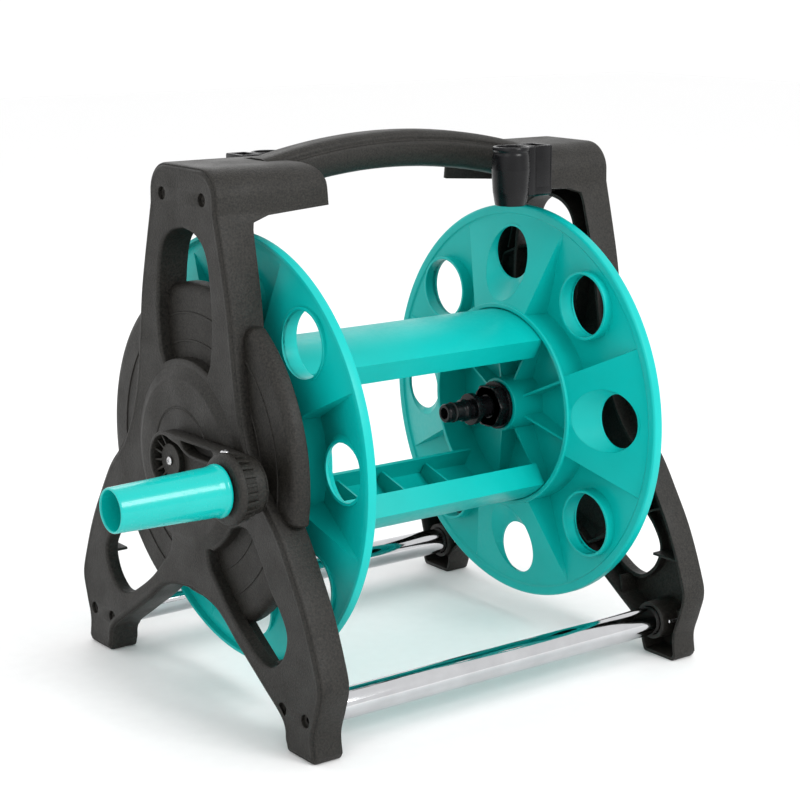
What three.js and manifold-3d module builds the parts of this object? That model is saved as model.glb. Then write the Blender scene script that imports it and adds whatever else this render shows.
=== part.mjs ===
// Garden hose reel: two end frames on chrome tie tubes, a carry handle, and a hand-cranked drum
// with a water path through its axle. Millimetres, +Z up, the drum's axis along X, the crank
// on the -X side, the front towards -Y. The origin is on the ground below the middle.
import * as THREE from "three";
import { mergeVertices } from "three/addons/utils/BufferGeometryUtils.js";
import Module from "manifold-3d";

const wasm = await Module();
wasm.setup();

// ---- Driving dimensions -------------------------------------------------------------------

const FIT = 0.35; // clearance between neighbouring pieces
const AXIS_Z = 183; // height of the drum's axis

// End frame, given as distances from the middle plane
const FRAME_OUTER = 181.3; // outer face
const FRAME_INNER = 158; // inner edge of the legs
const HEAD_INNER = 153; // inner edge of the legs just below the arm
const FRAME_TOP = 393;
const HEAD_HALF = 45.5; // half width just below the rounded top corners
const HEAD_RADIUS = 22; // the rounded top corners
const EDGE_ROUND = 4; // rounding of the outer face's edge
const WALL = 3; // thickness of the moulded walls
const RIB = 2; // thickness of the stiffening ribs
const GUARD_SIDES = 32; // facets round the guard
const GUARD_RADIUS = 126; // round guard between the legs and the drum
const GUARD_OUTER = 172;
const GUARD_INNER = 159.5;
const GUARD_LOW = 155; // heights where the guard is cut off beyond the legs
const GUARD_HIGH = 287;
const BOSS_FACE = 185; // raised round boss at the drum's axis
const BOSS_RADIUS = 58.5;
const BOSS_FOOT_RADIUS = 67;
const SLEEVE_END = -154; // inner end of the sleeve that holds the axle's bush
const BOSS_END = 170; // inner end of the bosses round the screws
const ARM_END = 83.4; // inner end of the arm that carries the handle
const ARM_LOW = 363.3; // lower edge of the arm at its end
const ARM_ROUND = 14; // rounding of the arm's upper corner
const ARM_LEAN = 4.6; // how far the arm's end leans back below that rounding

// Tie tubes and foot screws
const TUBE_Y = 134.4;
const TUBE_Z = 28;
const TUBE_RADIUS = 11.05;
const TUBE_WALL = 1.2;
const TUBE_HALF = 170.5;
const SOCKET_RADIUS = 15;
const SOCKET_INNER = 155;
const FOOT_SCREW_OFFSET = 13.9; // from the tube's axis, before and behind it

// Carry handle
const HANDLE_SCREW_Y = 27;
const HANDLE_SCREW_Z = 371;
const HANDLE_ARCH_RADIUS = 481; // radius of the arched top line
const HANDLE_TOP = 408.5;
const HANDLE_HEIGHT = 28;
const HANDLE_HALF_WIDTH = 14.5;
const HANDLE_ARCH_END = 118;

// Tool holder, named for its cup
const HOLDER_X = 68;
const HOLDER_Y = -60.5;
const HOLDER_TOP = 397;
const HOLDER_LOW = 353;
const HOLDER_END = 101; // far side of the block with the pocket
const REAR_HOLDER_DROP = 5.5; // the rear holder hangs lower than the front one

// Screws
const SCREW_HEAD_RADIUS = 3.2;
const SCREW_HEAD_THICKNESS = 1.6;
const SCREW_SHANK_RADIUS = 1.6;
const SCREW_HOLE_RADIUS = 1.95;
const RECESS_RADIUS = 5;
const RECESS_DEPTH = 7.6;
const SCREW_BOSS_RADIUS = 7.4;

// Drum, given as distances from the middle plane along the axis
const DRUM_TURN = THREE.MathUtils.degToRad(-3); // how far the drum has turned at rest
const RIM_RADIUS = 160;
const RIM_X = 128.4; // inner edge of the rim
const WEB_OUTER_RADIUS = 151; // where the sectors meet the rim
const WEB_OUTER_X = 130;
const RING_RADIUS = 80; // ring where the sectors end at the hub
const RAISED_X = 112; // raised sectors at the ring
const SUNK_X = 136; // sunk sectors at the ring
const SKIN = 2.6; // thickness of the flange
const SECTORS = 8;
const DRUM_SIDES = 32; // facets round the drum
const HOLE_SIDES = 10;
const HOLE_PITCH_RADIUS = 121.5;
const HOLE_RADIUS = 21;
const COLLAR_RADIUS = 24.2;
const SINK_FLOOR = 127.6; // narrow end of the conical sink before a raised sector's hole
const SINK_DEPTH = 19;
const SINK_SLOPE = 0.57; // how fast the sink widens, all of it towards the axis
const STAVE_RADIUS = 77.6;
const STAVE_HALF_ANGLE = THREE.MathUtils.degToRad(42);
const STAVE_SIDE = new THREE.Vector2(42.2, 42.4); // lower edge of a stave's side, from the axis
const STAVE_THICKNESS = 2.6;
const STAVE_HALF_LENGTH = 112.6;
const HUB_RADIUS = 21.5;
const HUB_FLOOR = 138.5;

// Axles
const HEX_RADIUS = 12.5; // corner radius of the hexagon that drives the drum
const JOURNAL_RADIUS = 14;
const BUSH_RADIUS = 17.1;
const WATER_BORE_RADIUS = 4.5;
const OUTLET_TIP = 54;
const OUTLET_BARREL_END = 97;

// Crank and grip
const CRANK_TURN = THREE.MathUtils.degToRad(-1.5);
const CRANK_RADIUS = 98;
const CRANK_FRONT = 200; // outer edge of the arm
const CRANK_BACK = 188;
const CRANK_HUB_RADIUS = 22;
const CRANK_PAD_RADIUS = 20;
const CRANK_BOSS_FRONT = 195; // boss in the arm's hub
const COLLAR_FRONT = 213; // collar in front of the arm, behind the grip
const COLLAR_BACK = 197.5;
const CRANK_COLLAR_RADIUS = 24.8;
const GRIP_BASE = 214.4;
const GRIP_END = 297;
const SPINDLE_RADIUS = 5;
const SPINDLE_END = 257.5;
const CLAMP_X = -204; // screw that clamps the spindle, from above
const CLAMP_Y = -89.5;
const CLAMP_SEAT = 20.8;

// Water inlet on the +X side
const INLET_END = 232;
const INLET_SCREW_Y = 20.7;

// ---- Materials ----------------------------------------------------------------------------

const material = (color, roughness, metalness) =>
  new THREE.MeshStandardMaterial({ color, roughness, metalness });

const GRAINED_BLACK = material(0x3a3937, 0.72, 0);
const GLOSS_BLACK = material(0x17181b, 0.28, 0);
const TEAL = material(0x05b3a6, 0.42, 0);
const TEAL_GRIP = material(0x05c9bb, 0.22, 0);
const CHROME = material(0xd9dadc, 0.08, 1);
const STEEL = material(0xb4b6b8, 0.3, 1);
const RUBBER = material(0x121212, 0.8, 0);
const NATURAL_NYLON = material(0xd8d4c8, 0.5, 0);

// ---- Solid helpers ------------------------------------------------------------------------

// A closed geometry as a manifold-3d solid, faces turned outwards.
function solid(geometry) {
  const bare = geometry.index ? geometry.toNonIndexed() : geometry.clone();
  bare.deleteAttribute("normal");
  bare.deleteAttribute("uv");
  const welded = mergeVertices(bare, 1e-4);
  const corners = welded.index.array;
  const kept = [];
  for (let i = 0; i < corners.length; i += 3) {
    const [a, b, c] = corners.slice(i, i + 3);
    if (a !== b && b !== c && c !== a) kept.push(a, b, c);
  }
  const made = fromArrays(welded.attributes.position.array, kept);
  return made.volume() < 0 ? fromArrays(welded.attributes.position.array, kept.reverse()) : made;
}

function fromArrays(vertProperties, corners) {
  const triVerts = new Uint32Array(corners);
  return new wasm.Manifold(new wasm.Mesh({ numProp: 3, vertProperties, triVerts }));
}

const union = (solids) => solids.reduce((sum, next) => sum.add(next));

function mesh(name, body, look) {
  const { vertProperties, triVerts } = body.getMesh();
  const geometry = new THREE.BufferGeometry();
  geometry.setAttribute("position", new THREE.BufferAttribute(new Float32Array(vertProperties), 3));
  geometry.setIndex(new THREE.BufferAttribute(new Uint32Array(triVerts), 1));
  geometry.computeVertexNormals();
  const made = new THREE.Mesh(geometry, look);
  made.name = name;
  return made;
}

const X_AXIS = new THREE.Vector3(1, 0, 0);
const Y_AXIS = new THREE.Vector3(0, 1, 0);
const Z_AXIS = new THREE.Vector3(0, 0, 1);
const SECTION_IN_YZ = new THREE.Matrix4().makeBasis(Y_AXIS, Z_AXIS, X_AXIS);
const SECTION_IN_XZ = new THREE.Matrix4().makeBasis(X_AXIS, Z_AXIS, Y_AXIS.clone().negate());

const points2 = (pairs) => pairs.map(([u, v]) => new THREE.Vector2(u, v));

function extruded(outline, depth) {
  const shape = outline instanceof THREE.Shape ? outline : new THREE.Shape(outline);
  return new THREE.ExtrudeGeometry(shape, { depth, bevelEnabled: false, curveSegments: 12 });
}

// A prism along X of an outline drawn in Y and Z.
const prismX = (outline, x0, x1) =>
  solid(extruded(outline, x1 - x0).applyMatrix4(SECTION_IN_YZ).translate(x0, 0, 0));

// A prism along Y, centred on y, of an outline drawn in X and Z.
const prismY = (outline, width, y = 0) =>
  solid(extruded(outline, width).applyMatrix4(SECTION_IN_XZ).translate(0, y + width / 2, 0));

// A flat radial plate of an outline drawn in X and radius, at an angle from +Z towards -Y about
// an axis along X at y.
const radialPlate = (outline, thickness, angle, y = 0) =>
  solid(
    extruded(outline, thickness)
      .translate(0, 0, -thickness / 2)
      .applyMatrix4(SECTION_IN_XZ)
      .rotateX(angle)
      .translate(0, y, 0),
  );

const box = (x0, x1, y0, y1, z0, z1) =>
  solid(
    new THREE.BoxGeometry(x1 - x0, y1 - y0, z1 - z0).translate(
      (x0 + x1) / 2,
      (y0 + y1) / 2,
      (z0 + z1) / 2,
    ),
  );

// A solid of revolution about an axis along X at (y, z). The profile is [x, radius] pairs; it
// either starts and ends on the axis or is closed on itself here.
function turnedGeometry(profile, segments) {
  const onAxis = profile[0][1] === 0;
  const closed = onAxis ? profile : [...profile, profile[0]];
  const points = closed.map(([x, radius]) => new THREE.Vector2(radius, x));
  return new THREE.LatheGeometry(points, segments).rotateZ(-Math.PI / 2);
}

const turned = (profile, segments, y = 0, z = 0) =>
  solid(turnedGeometry(profile, segments).translate(0, y, z));

const rod = (x0, x1, radius, segments, y, z) =>
  turned([[x0, 0], [x0, radius], [x1, radius], [x1, 0]], segments, y, z);

const tube = (x0, x1, inner, outer, segments, y, z) =>
  turned([[x0, inner], [x0, outer], [x1, outer], [x1, inner]], segments, y, z);

// A rod along Z, from z0 to z1.
const post = (x, y, z0, z1, radius, segments = 16) =>
  solid(
    new THREE.CylinderGeometry(radius, radius, z1 - z0, segments)
      .rotateX(Math.PI / 2)
      .translate(x, y, (z0 + z1) / 2),
  );

const hexagon = (x0, x1, radius) =>
  solid(
    new THREE.CylinderGeometry(radius, radius, x1 - x0, 6)
      .rotateZ(-Math.PI / 2)
      .translate((x0 + x1) / 2, 0, 0),
  );

// A flat-head screw along X with its head's outer side towards -X, at (y, z).
function screw(headX, seatX, tipX, y, z) {
  return turned(
    [
      [headX, 0],
      [headX, SCREW_HEAD_RADIUS],
      [seatX, SCREW_HEAD_RADIUS],
      [seatX, SCREW_SHANK_RADIUS],
      [tipX, SCREW_SHANK_RADIUS],
      [tipX, 0],
    ],
    8,
    y,
    z,
  );
}

// A smooth run of points through the given ones.
const smooth = (pairs, steps) => new THREE.SplineCurve(points2(pairs)).getPoints(steps);

const mirrored = (points) => points.map((p) => new THREE.Vector2(-p.x, p.y));

// A closed outline that is the same on both sides, from its half, top to bottom.
const bothSides = (half) => [...half, ...mirrored(half).reverse()].filter(notRepeated);

const notRepeated = (point, index, all) =>
  point.distanceTo(all[(index + all.length - 1) % all.length]) > 1e-3;

// A closed outline moved inwards by a distance, or outwards by a negative one.
function inset(outline, distance) {
  const inward = THREE.ShapeUtils.isClockWise(outline) ? -1 : 1;
  return outline.map((point, i) => {
    const before = outline[(i + outline.length - 1) % outline.length];
    const after = outline[(i + 1) % outline.length];
    const into = point.clone().sub(before).normalize();
    const away = after.clone().sub(point).normalize();
    const normal = new THREE.Vector2(-into.y - away.y, into.x + away.x).normalize();
    const spread = Math.max(0.5, normal.dot(new THREE.Vector2(-into.y, into.x)));
    return point.clone().addScaledVector(normal, (inward * distance) / spread);
  });
}

function arcPoints(y, z, radius, from, to, steps) {
  return Array.from({ length: steps + 1 }, (_, i) => {
    const angle = from + ((to - from) * i) / steps;
    return new THREE.Vector2(y + radius * Math.cos(angle), z + radius * Math.sin(angle));
  });
}

// ---- End frame: the -X one, the other is the same moulding turned half round ----------------

// The outline seen along the axis: rounded head, spreading legs, feet and the arch between them.
function frameOutline() {
  const head = arcPoints(
    HEAD_HALF - HEAD_RADIUS,
    FRAME_TOP - HEAD_RADIUS,
    HEAD_RADIUS,
    Math.PI / 2,
    0.12,
    5,
  );
  const leg = smooth(
    [[45.6, 363], [60.5, 303], [66.5, 262], [75, 217], [92, 181], [117, 155], [134, 130],
      [150, 103], [163.5, 72], [169.5, 54], [163.5, 36], [158.5, 20], [160, 4]],
    14,
  );
  const foot = points2([[157, 0], [126, 0]]);
  const arch = smooth([[122, 8], [118, 21], [92, 39], [62, 59], [34, 78], [0, 84.5]], 7);
  return bothSides([new THREE.Vector2(0, FRAME_TOP), ...head, ...leg, ...foot, ...arch]);
}

// The frame's depth seen from the front: legs, concave corner and the arm with its rounded end.
function sideProfile() {
  const corner = smooth([[-HEAD_INNER, 345], [-152.4, 352], [-150.8, 356.6], [-146.5, 359.2]], 5);
  const roundX = -ARM_END - ARM_LEAN - ARM_ROUND;
  const end = arcPoints(roundX, FRAME_TOP - ARM_ROUND, ARM_ROUND, 0, Math.PI / 2, 4);
  return [
    ...points2([[-FRAME_OUTER - 1, -1], [-FRAME_INNER, -1], [-FRAME_INNER, 180]]),
    ...corner,
    ...points2([[-ARM_END, ARM_LOW]]),
    ...end,
    ...points2([[-FRAME_OUTER - 1, FRAME_TOP]]),
  ];
}

function topSlot() {
  const crown = smooth([[0, 349], [17, 345], [29, 334], [34.5, 312], [36.5, 281], [33, 256]], 7);
  const foot = arcPoints(0, AXIS_Z, 72, Math.PI / 2 - 0.42, Math.PI / 2, 3);
  return bothSides([...crown, ...foot]);
}

function lowerSlot(side) {
  const edge = smooth(
    [[25, 121], [28, 108], [40, 95], [57, 79], [79, 64], [95, 56], [108, 56], [121, 67],
      [126, 83], [119, 97], [107, 110], [93, 131], [80, 146], [67, 147]],
    13,
  );
  const hubSide = arcPoints(0, AXIS_Z, 70, -0.61, -1.1, 2);
  return [...edge, ...hubSide].map((p) => new THREE.Vector2(p.x * side, p.y));
}

// Straight stiffening ribs inside the legs and head, as [y, z] ends of each.
const LEG_RIBS = [
  [[108, 107], [140, 120]],
  [[125, 80], [160, 80]],
  [[92, 58], [96, 36]],
  [[38, 350], [52, 300]],
];

function rib([[y0, z0], [y1, z1]], side) {
  const run = new THREE.Vector2(y1 - y0, z1 - z0).normalize().multiplyScalar(RIB / 2);
  const corners = [
    [y0 - run.y, z0 + run.x],
    [y0 + run.y, z0 - run.x],
    [y1 + run.y, z1 - run.x],
    [y1 - run.y, z1 + run.x],
  ];
  const outline = points2(corners.map(([y, z]) => [y * side, z]));
  return prismX(outline, -FRAME_OUTER, -FRAME_INNER - 3);
}

const SIDES = [-1, 1];
const footScrews = SIDES.flatMap((side) =>
  SIDES.map((edge) => [side * TUBE_Y + edge * FOOT_SCREW_OFFSET, TUBE_Z + 1.5]),
);
const headScrews = SIDES.map((side) => [side * HANDLE_SCREW_Y, HANDLE_SCREW_Z]);

// The guard's round wall with its rim, cut off level beyond the legs.
function guard(outline) {
  const pan = turned(
    [
      [-GUARD_OUTER, 0],
      [-GUARD_OUTER, GUARD_RADIUS - 4],
      [-GUARD_OUTER + 4, GUARD_RADIUS],
      [-GUARD_INNER, GUARD_RADIUS],
      [-GUARD_INNER, GUARD_RADIUS - 2.5],
      [-GUARD_OUTER + 2.5, GUARD_RADIUS - 3.5],
      [-GUARD_OUTER + 2.5, 0],
    ],
    GUARD_SIDES,
    0,
    AXIS_Z,
  );
  const level = box(-200, -150, -150, 150, GUARD_LOW, GUARD_HIGH);
  const behindFrame = prismX(inset(outline, WALL - 1), -200, -150);
  return pan.intersect(level.add(behindFrame));
}

function endFrame() {
  const outline = frameOutline();
  const slots = [topSlot(), lowerSlot(1), lowerSlot(-1)];
  const bosses = [...footScrews, ...headScrews];

  const rounded = new THREE.ExtrudeGeometry(new THREE.Shape(outline), {
    depth: FRAME_OUTER - ARM_END + 20,
    bevelThickness: EDGE_ROUND,
    bevelSize: EDGE_ROUND,
    bevelOffset: -EDGE_ROUND,
    bevelSegments: 2,
  });
  rounded.applyMatrix4(SECTION_IN_YZ).translate(-FRAME_OUTER + EDGE_ROUND, 0, 0);
  const outside = solid(rounded).intersect(prismY(sideProfile(), 400));

  // The space inside the walls, open towards the drum.
  let hollow = prismX(inset(outline, WALL), -FRAME_OUTER + WALL, -ARM_END + 5);
  slots.forEach((slot, i) => {
    const wallEnd = i === 0 ? -FRAME_INNER + 1 : -GUARD_OUTER + 1;
    hollow = hollow.subtract(prismX(inset(slot, -WALL), -FRAME_OUTER, wallEnd));
  });
  for (const place of bosses) {
    hollow = hollow.subtract(rod(-FRAME_OUTER, -BOSS_END, SCREW_BOSS_RADIUS, 8, ...place));
  }
  for (const side of SIDES) {
    for (const ends of LEG_RIBS) hollow = hollow.subtract(rib(ends, side));
  }
  hollow = hollow.subtract(rod(-FRAME_OUTER, SLEEVE_END, BUSH_RADIUS + FIT + 3, 20, 0, AXIS_Z));

  const boss = turned(
    [
      [-FRAME_OUTER + 1, 0],
      [-FRAME_OUTER + 1, BOSS_FOOT_RADIUS],
      [-FRAME_OUTER, BOSS_FOOT_RADIUS],
      [-BOSS_FACE, BOSS_RADIUS],
      [-BOSS_FACE, 0],
    ],
    GUARD_SIDES,
    0,
    AXIS_Z,
  );
  const sleeve = rod(-BOSS_FACE + 1, SLEEVE_END, BUSH_RADIUS + FIT + 3, 20, 0, AXIS_Z);
  const sockets = SIDES.map((side) =>
    rod(-FRAME_OUTER + 1, -SOCKET_INNER, SOCKET_RADIUS, 16, side * TUBE_Y, TUBE_Z),
  );

  let frame = outside.subtract(hollow);
  for (const slot of slots) {
    frame = frame.subtract(prismX(slot, -FRAME_OUTER - 2, -FRAME_INNER + 2));
  }
  frame = union([frame, guard(outline), boss, sleeve, ...sockets]);

  // Bores: the axle's bush, the tubes, the screws, and the handle's way through the arm's top.
  frame = frame.subtract(rod(-BOSS_FACE - 1, -150, BUSH_RADIUS + FIT, 20, 0, AXIS_Z));
  for (const side of SIDES) {
    const bore = rod(-TUBE_HALF - FIT, -150, TUBE_RADIUS + FIT, 16, side * TUBE_Y, TUBE_Z);
    frame = frame.subtract(bore);
  }
  for (const side of SIDES) {
    const pilot = rod(-BOSS_FACE - 1, -180, SCREW_HOLE_RADIUS, 6, side * INLET_SCREW_Y, AXIS_Z);
    frame = frame.subtract(pilot);
  }
  for (const place of bosses) {
    const floorX = -FRAME_OUTER + RECESS_DEPTH;
    frame = frame.subtract(rod(-FRAME_OUTER - 1, floorX, RECESS_RADIUS, 8, ...place));
    frame = frame.subtract(rod(-FRAME_OUTER, -150, SCREW_HOLE_RADIUS, 6, ...place));
  }
  const half = HANDLE_HALF_WIDTH + 1;
  return frame.subtract(box(-HANDLE_ARCH_END - 1, -ARM_END + 6, -half, half, 370, 420));
}

// ---- Carry handle ---------------------------------------------------------------------------

// Section of the bar in Y and height above its underside: round below, flat-crowned above.
function handleSection() {
  const w = HANDLE_HALF_WIDTH;
  return smooth(
    [[0, 0], [w * 0.62, 2.5], [w * 0.97, 11], [w, 19], [w * 0.82, 25.5], [w * 0.45, HANDLE_HEIGHT],
      [0, HANDLE_HEIGHT - 0.6]],
    8,
  );
}

function carryHandle() {
  // Bar: the section swept along an arc that is lowest at its ends.
  const section = new THREE.Shape(
    bothSides(handleSection()).map((p) => new THREE.Vector2(p.x, HANDLE_HEIGHT - p.y)),
  );
  const reach = Math.asin(HANDLE_ARCH_END / HANDLE_ARCH_RADIUS);
  const centreZ = HANDLE_TOP - HANDLE_ARCH_RADIUS;
  const steps = 10;
  const path = new THREE.CatmullRomCurve3(
    Array.from({ length: 9 }, (_, i) => {
      const angle = reach * (i / 4 - 1);
      return new THREE.Vector3(
        HANDLE_ARCH_RADIUS * Math.sin(angle),
        0,
        centreZ + HANDLE_ARCH_RADIUS * Math.cos(angle),
      );
    }),
  );
  const bar = solid(new THREE.ExtrudeGeometry(section, { steps, extrudePath: path }));

  // Tangs inside the arms, each ending in a cross bar that takes the screws.
  const tangs = SIDES.flatMap((side) => {
    const along = (a, b) => [Math.min(side * a, side * b), Math.max(side * a, side * b)];
    return [
      box(...along(HANDLE_ARCH_END - 14, 160), -12.5, 12.5, 367, 382),
      box(...along(157, 169.6), -34, 34, 364.5, 381),
    ];
  });
  let handle = union([bar, ...tangs]);
  for (const [y, z] of headScrews) {
    handle = handle.subtract(rod(-175, -150, SCREW_HOLE_RADIUS, 10, y, z));
    handle = handle.subtract(rod(150, 175, SCREW_HOLE_RADIUS, 10, y, z));
  }
  return handle;
}

// ---- Tool holder: an open cup beside a square pocket, on the front of the +X arm --------------

function toolHolder() {
  const barrel = solid(
    new THREE.LatheGeometry(
      points2([[0, 0], [11.6, 0], [13.4, 10], [14.6, 27], [14, 40], [13.4, 44], [11.4, 44],
        [11.4, 3], [0, 3]]),
      28,
    )
      .rotateX(Math.PI / 2)
      .translate(HOLDER_X, HOLDER_Y, HOLDER_LOW),
  );
  const blockFront = HOLDER_Y - 9;
  const back = -HEAD_HALF - 2 * FIT;
  const side = points2([
    [back, HOLDER_LOW + 6],
    [back, HOLDER_TOP],
    [blockFront, HOLDER_TOP],
    [blockFront, HOLDER_LOW + 8],
    [blockFront + 2, HOLDER_LOW + 6],
  ]);
  const block = prismX(side, HOLDER_X + 4, HOLDER_END);
  const pocketStart = HOLDER_X + 18;
  const pocketEnd = HOLDER_END - 2.5;
  const pocket = box(
    pocketStart, pocketEnd, blockFront + 2.5, back - 3, HOLDER_LOW + 14, HOLDER_TOP + 1,
  );
  const well = post(HOLDER_X, HOLDER_Y, HOLDER_LOW + 3, HOLDER_TOP + 1, 11.4, 28);
  const neck = box(HOLDER_X - 6, HOLDER_X + 8, HOLDER_Y, back, HOLDER_LOW + 12, HOLDER_TOP - 6);
  return union([barrel, block, neck]).subtract(pocket).subtract(well);
}

// ---- Drum -----------------------------------------------------------------------------------

const sectorAngle = (index) => (index * 2 * Math.PI) / SECTORS;

// The +X flange: eight sectors, raised and sunk by turns at the hub, all meeting at the rim.
function flange() {
  const cone = (ringX) =>
    turned(
      [
        [ringX, RING_RADIUS],
        [WEB_OUTER_X, WEB_OUTER_RADIUS],
        [RIM_X, RIM_RADIUS],
        [RIM_X + 8, RIM_RADIUS],
        [RIM_X + 8, RIM_RADIUS - 2.4],
        [WEB_OUTER_X + SKIN, WEB_OUTER_RADIUS],
        [ringX + SKIN, RING_RADIUS],
      ],
      DRUM_SIDES,
    );
  // A wedge a little narrower or wider than one sector.
  const wedge = (index, extra) => {
    const slope = Math.tan(Math.PI / SECTORS + extra);
    const outline = points2(
      [[-60 * slope, 60], [60 * slope, 60], [170 * slope, 170], [-170 * slope, 170]],
    );
    const geometry = extruded(outline, 50).applyMatrix4(SECTION_IN_YZ);
    return solid(geometry.translate(100, 0, 0).rotateX(sectorAngle(index)));
  };
  const raisedIndexes = [0, 2, 4, 6];
  const sunkIndexes = [1, 3, 5, 7];
  const mask = (extra) => union(raisedIndexes.map((index) => wedge(index, extra)));

  // The walls between raised and sunk sectors end inside the skin on every side.
  const step = points2([
    [RAISED_X + SKIN / 2, RING_RADIUS + 0.4],
    [WEB_OUTER_X + SKIN / 2, WEB_OUTER_RADIUS - 1],
    [SUNK_X + SKIN / 2, RING_RADIUS + 0.4],
  ]);
  const steps = [...raisedIndexes, ...sunkIndexes].map((index) =>
    radialPlate(step, 2.2, sectorAngle(index + 0.5)),
  );

  const ring = turned(
    [
      [RAISED_X - 1.2, RING_RADIUS - 1.6],
      [RAISED_X - 1.2, RING_RADIUS + 1.8],
      [HUB_FLOOR + SKIN, RING_RADIUS + 0.8],
      [HUB_FLOOR + SKIN, RING_RADIUS - 1.6],
    ],
    DRUM_SIDES,
  );
  const floor = rod(HUB_FLOOR, HUB_FLOOR + SKIN, RING_RADIUS - 1, DRUM_SIDES);
  const hub = rod(109, 146, HUB_RADIUS, 16);
  const hubRib = points2([[121, 20], [HUB_FLOOR + 1, 20], [HUB_FLOOR + 1, 79], [133, 79]]);
  const hubRibs = sunkIndexes.concat(raisedIndexes).map((index) =>
    radialPlate(hubRib, RIB, sectorAngle(index + 0.5)),
  );
  const parts = [
    cone(RAISED_X).intersect(mask(0.004)),
    cone(SUNK_X).subtract(mask(-0.004)),
    ...steps,
    ring,
    floor,
    hub,
    ...hubRibs,
    sinkWalls(raisedIndexes),
    ...sunkIndexes.map((index) => collarWall(sectorAngle(index))),
    ...staveSeats(),
  ];
  let made = union(parts);
  for (const index of raisedIndexes) {
    const angle = sectorAngle(index);
    made = made.subtract(sinkCone(angle, SINK_DEPTH, HOLE_RADIUS));
    made = made.subtract(rod(SINK_FLOOR - 1, 150, HOLE_RADIUS, HOLE_SIDES, ...holeCentre(angle)));
  }
  for (const index of sunkIndexes) {
    const [y, z] = holeCentre(sectorAngle(index));
    made = made.subtract(rod(100, 150, COLLAR_RADIUS, HOLE_SIDES, y, z));
  }
  return made.subtract(hexagon(100, 150, HEX_RADIUS + FIT));
}

const holeCentre = (angle) => [
  -HOLE_PITCH_RADIUS * Math.sin(angle),
  HOLE_PITCH_RADIUS * Math.cos(angle),
];

// A cone along X, ending round a raised sector's hole, that widens towards the drum's middle. Its
// side away from the axis is parallel to the axis.
function sinkCone(angle, depth, radius) {
  const wide = radius + depth * SINK_SLOPE;
  const profile = [[-depth, 0], [-depth, wide], [0, radius], [0, 0]];
  const lean = new THREE.Matrix4().makeShear(0, SINK_SLOPE, 0, 0, 0, 0);
  return solid(
    turnedGeometry(profile, HOLE_SIDES)
      .applyMatrix4(lean)
      .translate(SINK_FLOOR, 0, HOLE_PITCH_RADIUS)
      .rotateX(angle),
  );
}

// Walls of the sinks, behind the middle of the raised sectors' skin.
function sinkWalls(indexes) {
  const middle = SKIN / 2;
  const behindSkin = turned(
    [
      [RAISED_X + middle, RING_RADIUS],
      [WEB_OUTER_X + middle, WEB_OUTER_RADIUS],
      [WEB_OUTER_X + 10, WEB_OUTER_RADIUS],
      [WEB_OUTER_X + 10, RING_RADIUS],
    ],
    DRUM_SIDES,
  );
  const cones = indexes.map((index) => {
    const [y, z] = holeCentre(sectorAngle(index));
    const lip = rod(SINK_FLOOR - 1, SINK_FLOOR + 2, HOLE_RADIUS + 2.4, HOLE_SIDES, y, z);
    return sinkCone(sectorAngle(index), SINK_DEPTH, HOLE_RADIUS + 2.4).add(lip);
  });
  return union(cones).intersect(behindSkin);
}

// Standing collar round a sunk sector's hole.
function collarWall(angle) {
  const [y, z] = holeCentre(angle);
  return tube(123.5, 136, COLLAR_RADIUS - 2, COLLAR_RADIUS + 2.3, HOLE_SIDES, y, z);
}

// Lugs on the hub floor that reach under the ends of the staves.
function staveSeats() {
  const top = STAVE_RADIUS - STAVE_THICKNESS - FIT;
  const floorX = HUB_FLOOR + 1;
  const lug = points2([[104, top - 7], [floorX, top - 9], [floorX, top - 1], [104, top - 1]]);
  return [0, Math.PI].flatMap((middle) =>
    [-0.26, 0.26].map((offset) => radialPlate(lug, 10, middle + offset)),
  );
}

// A curved stave with sides bent towards the axis and cross ribs underneath.
function stave() {
  const arc = (radius, angle) =>
    arcPoints(0, 0, radius, Math.PI / 2 - angle, Math.PI / 2 + angle, 10);
  const side = STAVE_SIDE;
  const inner = STAVE_RADIUS - STAVE_THICKNESS;
  const innerAngle = STAVE_HALF_ANGLE - 0.028;
  const shell = [
    new THREE.Vector2(side.x, side.y),
    ...arc(STAVE_RADIUS, STAVE_HALF_ANGLE),
    new THREE.Vector2(-side.x, side.y),
    new THREE.Vector2(-side.x + STAVE_THICKNESS, side.y + 1.2),
    ...arc(inner, innerAngle).reverse(),
    new THREE.Vector2(side.x - STAVE_THICKNESS, side.y + 1.2),
  ];
  const body = prismX(shell, -STAVE_HALF_LENGTH, STAVE_HALF_LENGTH);
  const ribOutline = [
    new THREE.Vector2(side.x - 1, side.y + 6),
    ...arc(inner + 0.5, innerAngle),
    new THREE.Vector2(-side.x + 1, side.y + 6),
    new THREE.Vector2(0, side.y + 20),
  ];
  const ribs = [-66, -22, 22, 66].map((x) => prismX(ribOutline, x - RIB / 2, x + RIB / 2));
  return union([body, ...ribs]);
}

// ---- Axles and water path ---------------------------------------------------------------------

// Quick-connector nipple inside the drum, where the wound hose plugs on.
const outletNipple = () =>
  turned(
    [
      [OUTLET_TIP, WATER_BORE_RADIUS],
      [OUTLET_TIP, 6.8],
      [OUTLET_TIP + 1.5, 7.6],
      [60, 7.6],
      [60, 5.9],
      [63, 5.9],
      [63, 7.6],
      [70, 7.6],
      [71.5, 8.9],
      [75, 8.9],
      [76, 8],
      [79, 8],
      [79, 12.8],
      [83.5, 12.8],
      [84.5, 8.7],
      [OUTLET_BARREL_END, 8.7],
      [OUTLET_BARREL_END, 6],
      [111, 6],
      [111, WATER_BORE_RADIUS],
    ],
    16,
  );

function sealRing(middleX, inner, outer) {
  const middle = (inner + outer) / 2;
  const radius = (outer - inner) / 2;
  const profile = Array.from({ length: 5 }, (_, i) => {
    const angle = (i * 2 * Math.PI) / 5;
    return [middleX + radius * Math.cos(angle), middle + radius * Math.sin(angle)];
  });
  return turned(profile, 12);
}

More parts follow.
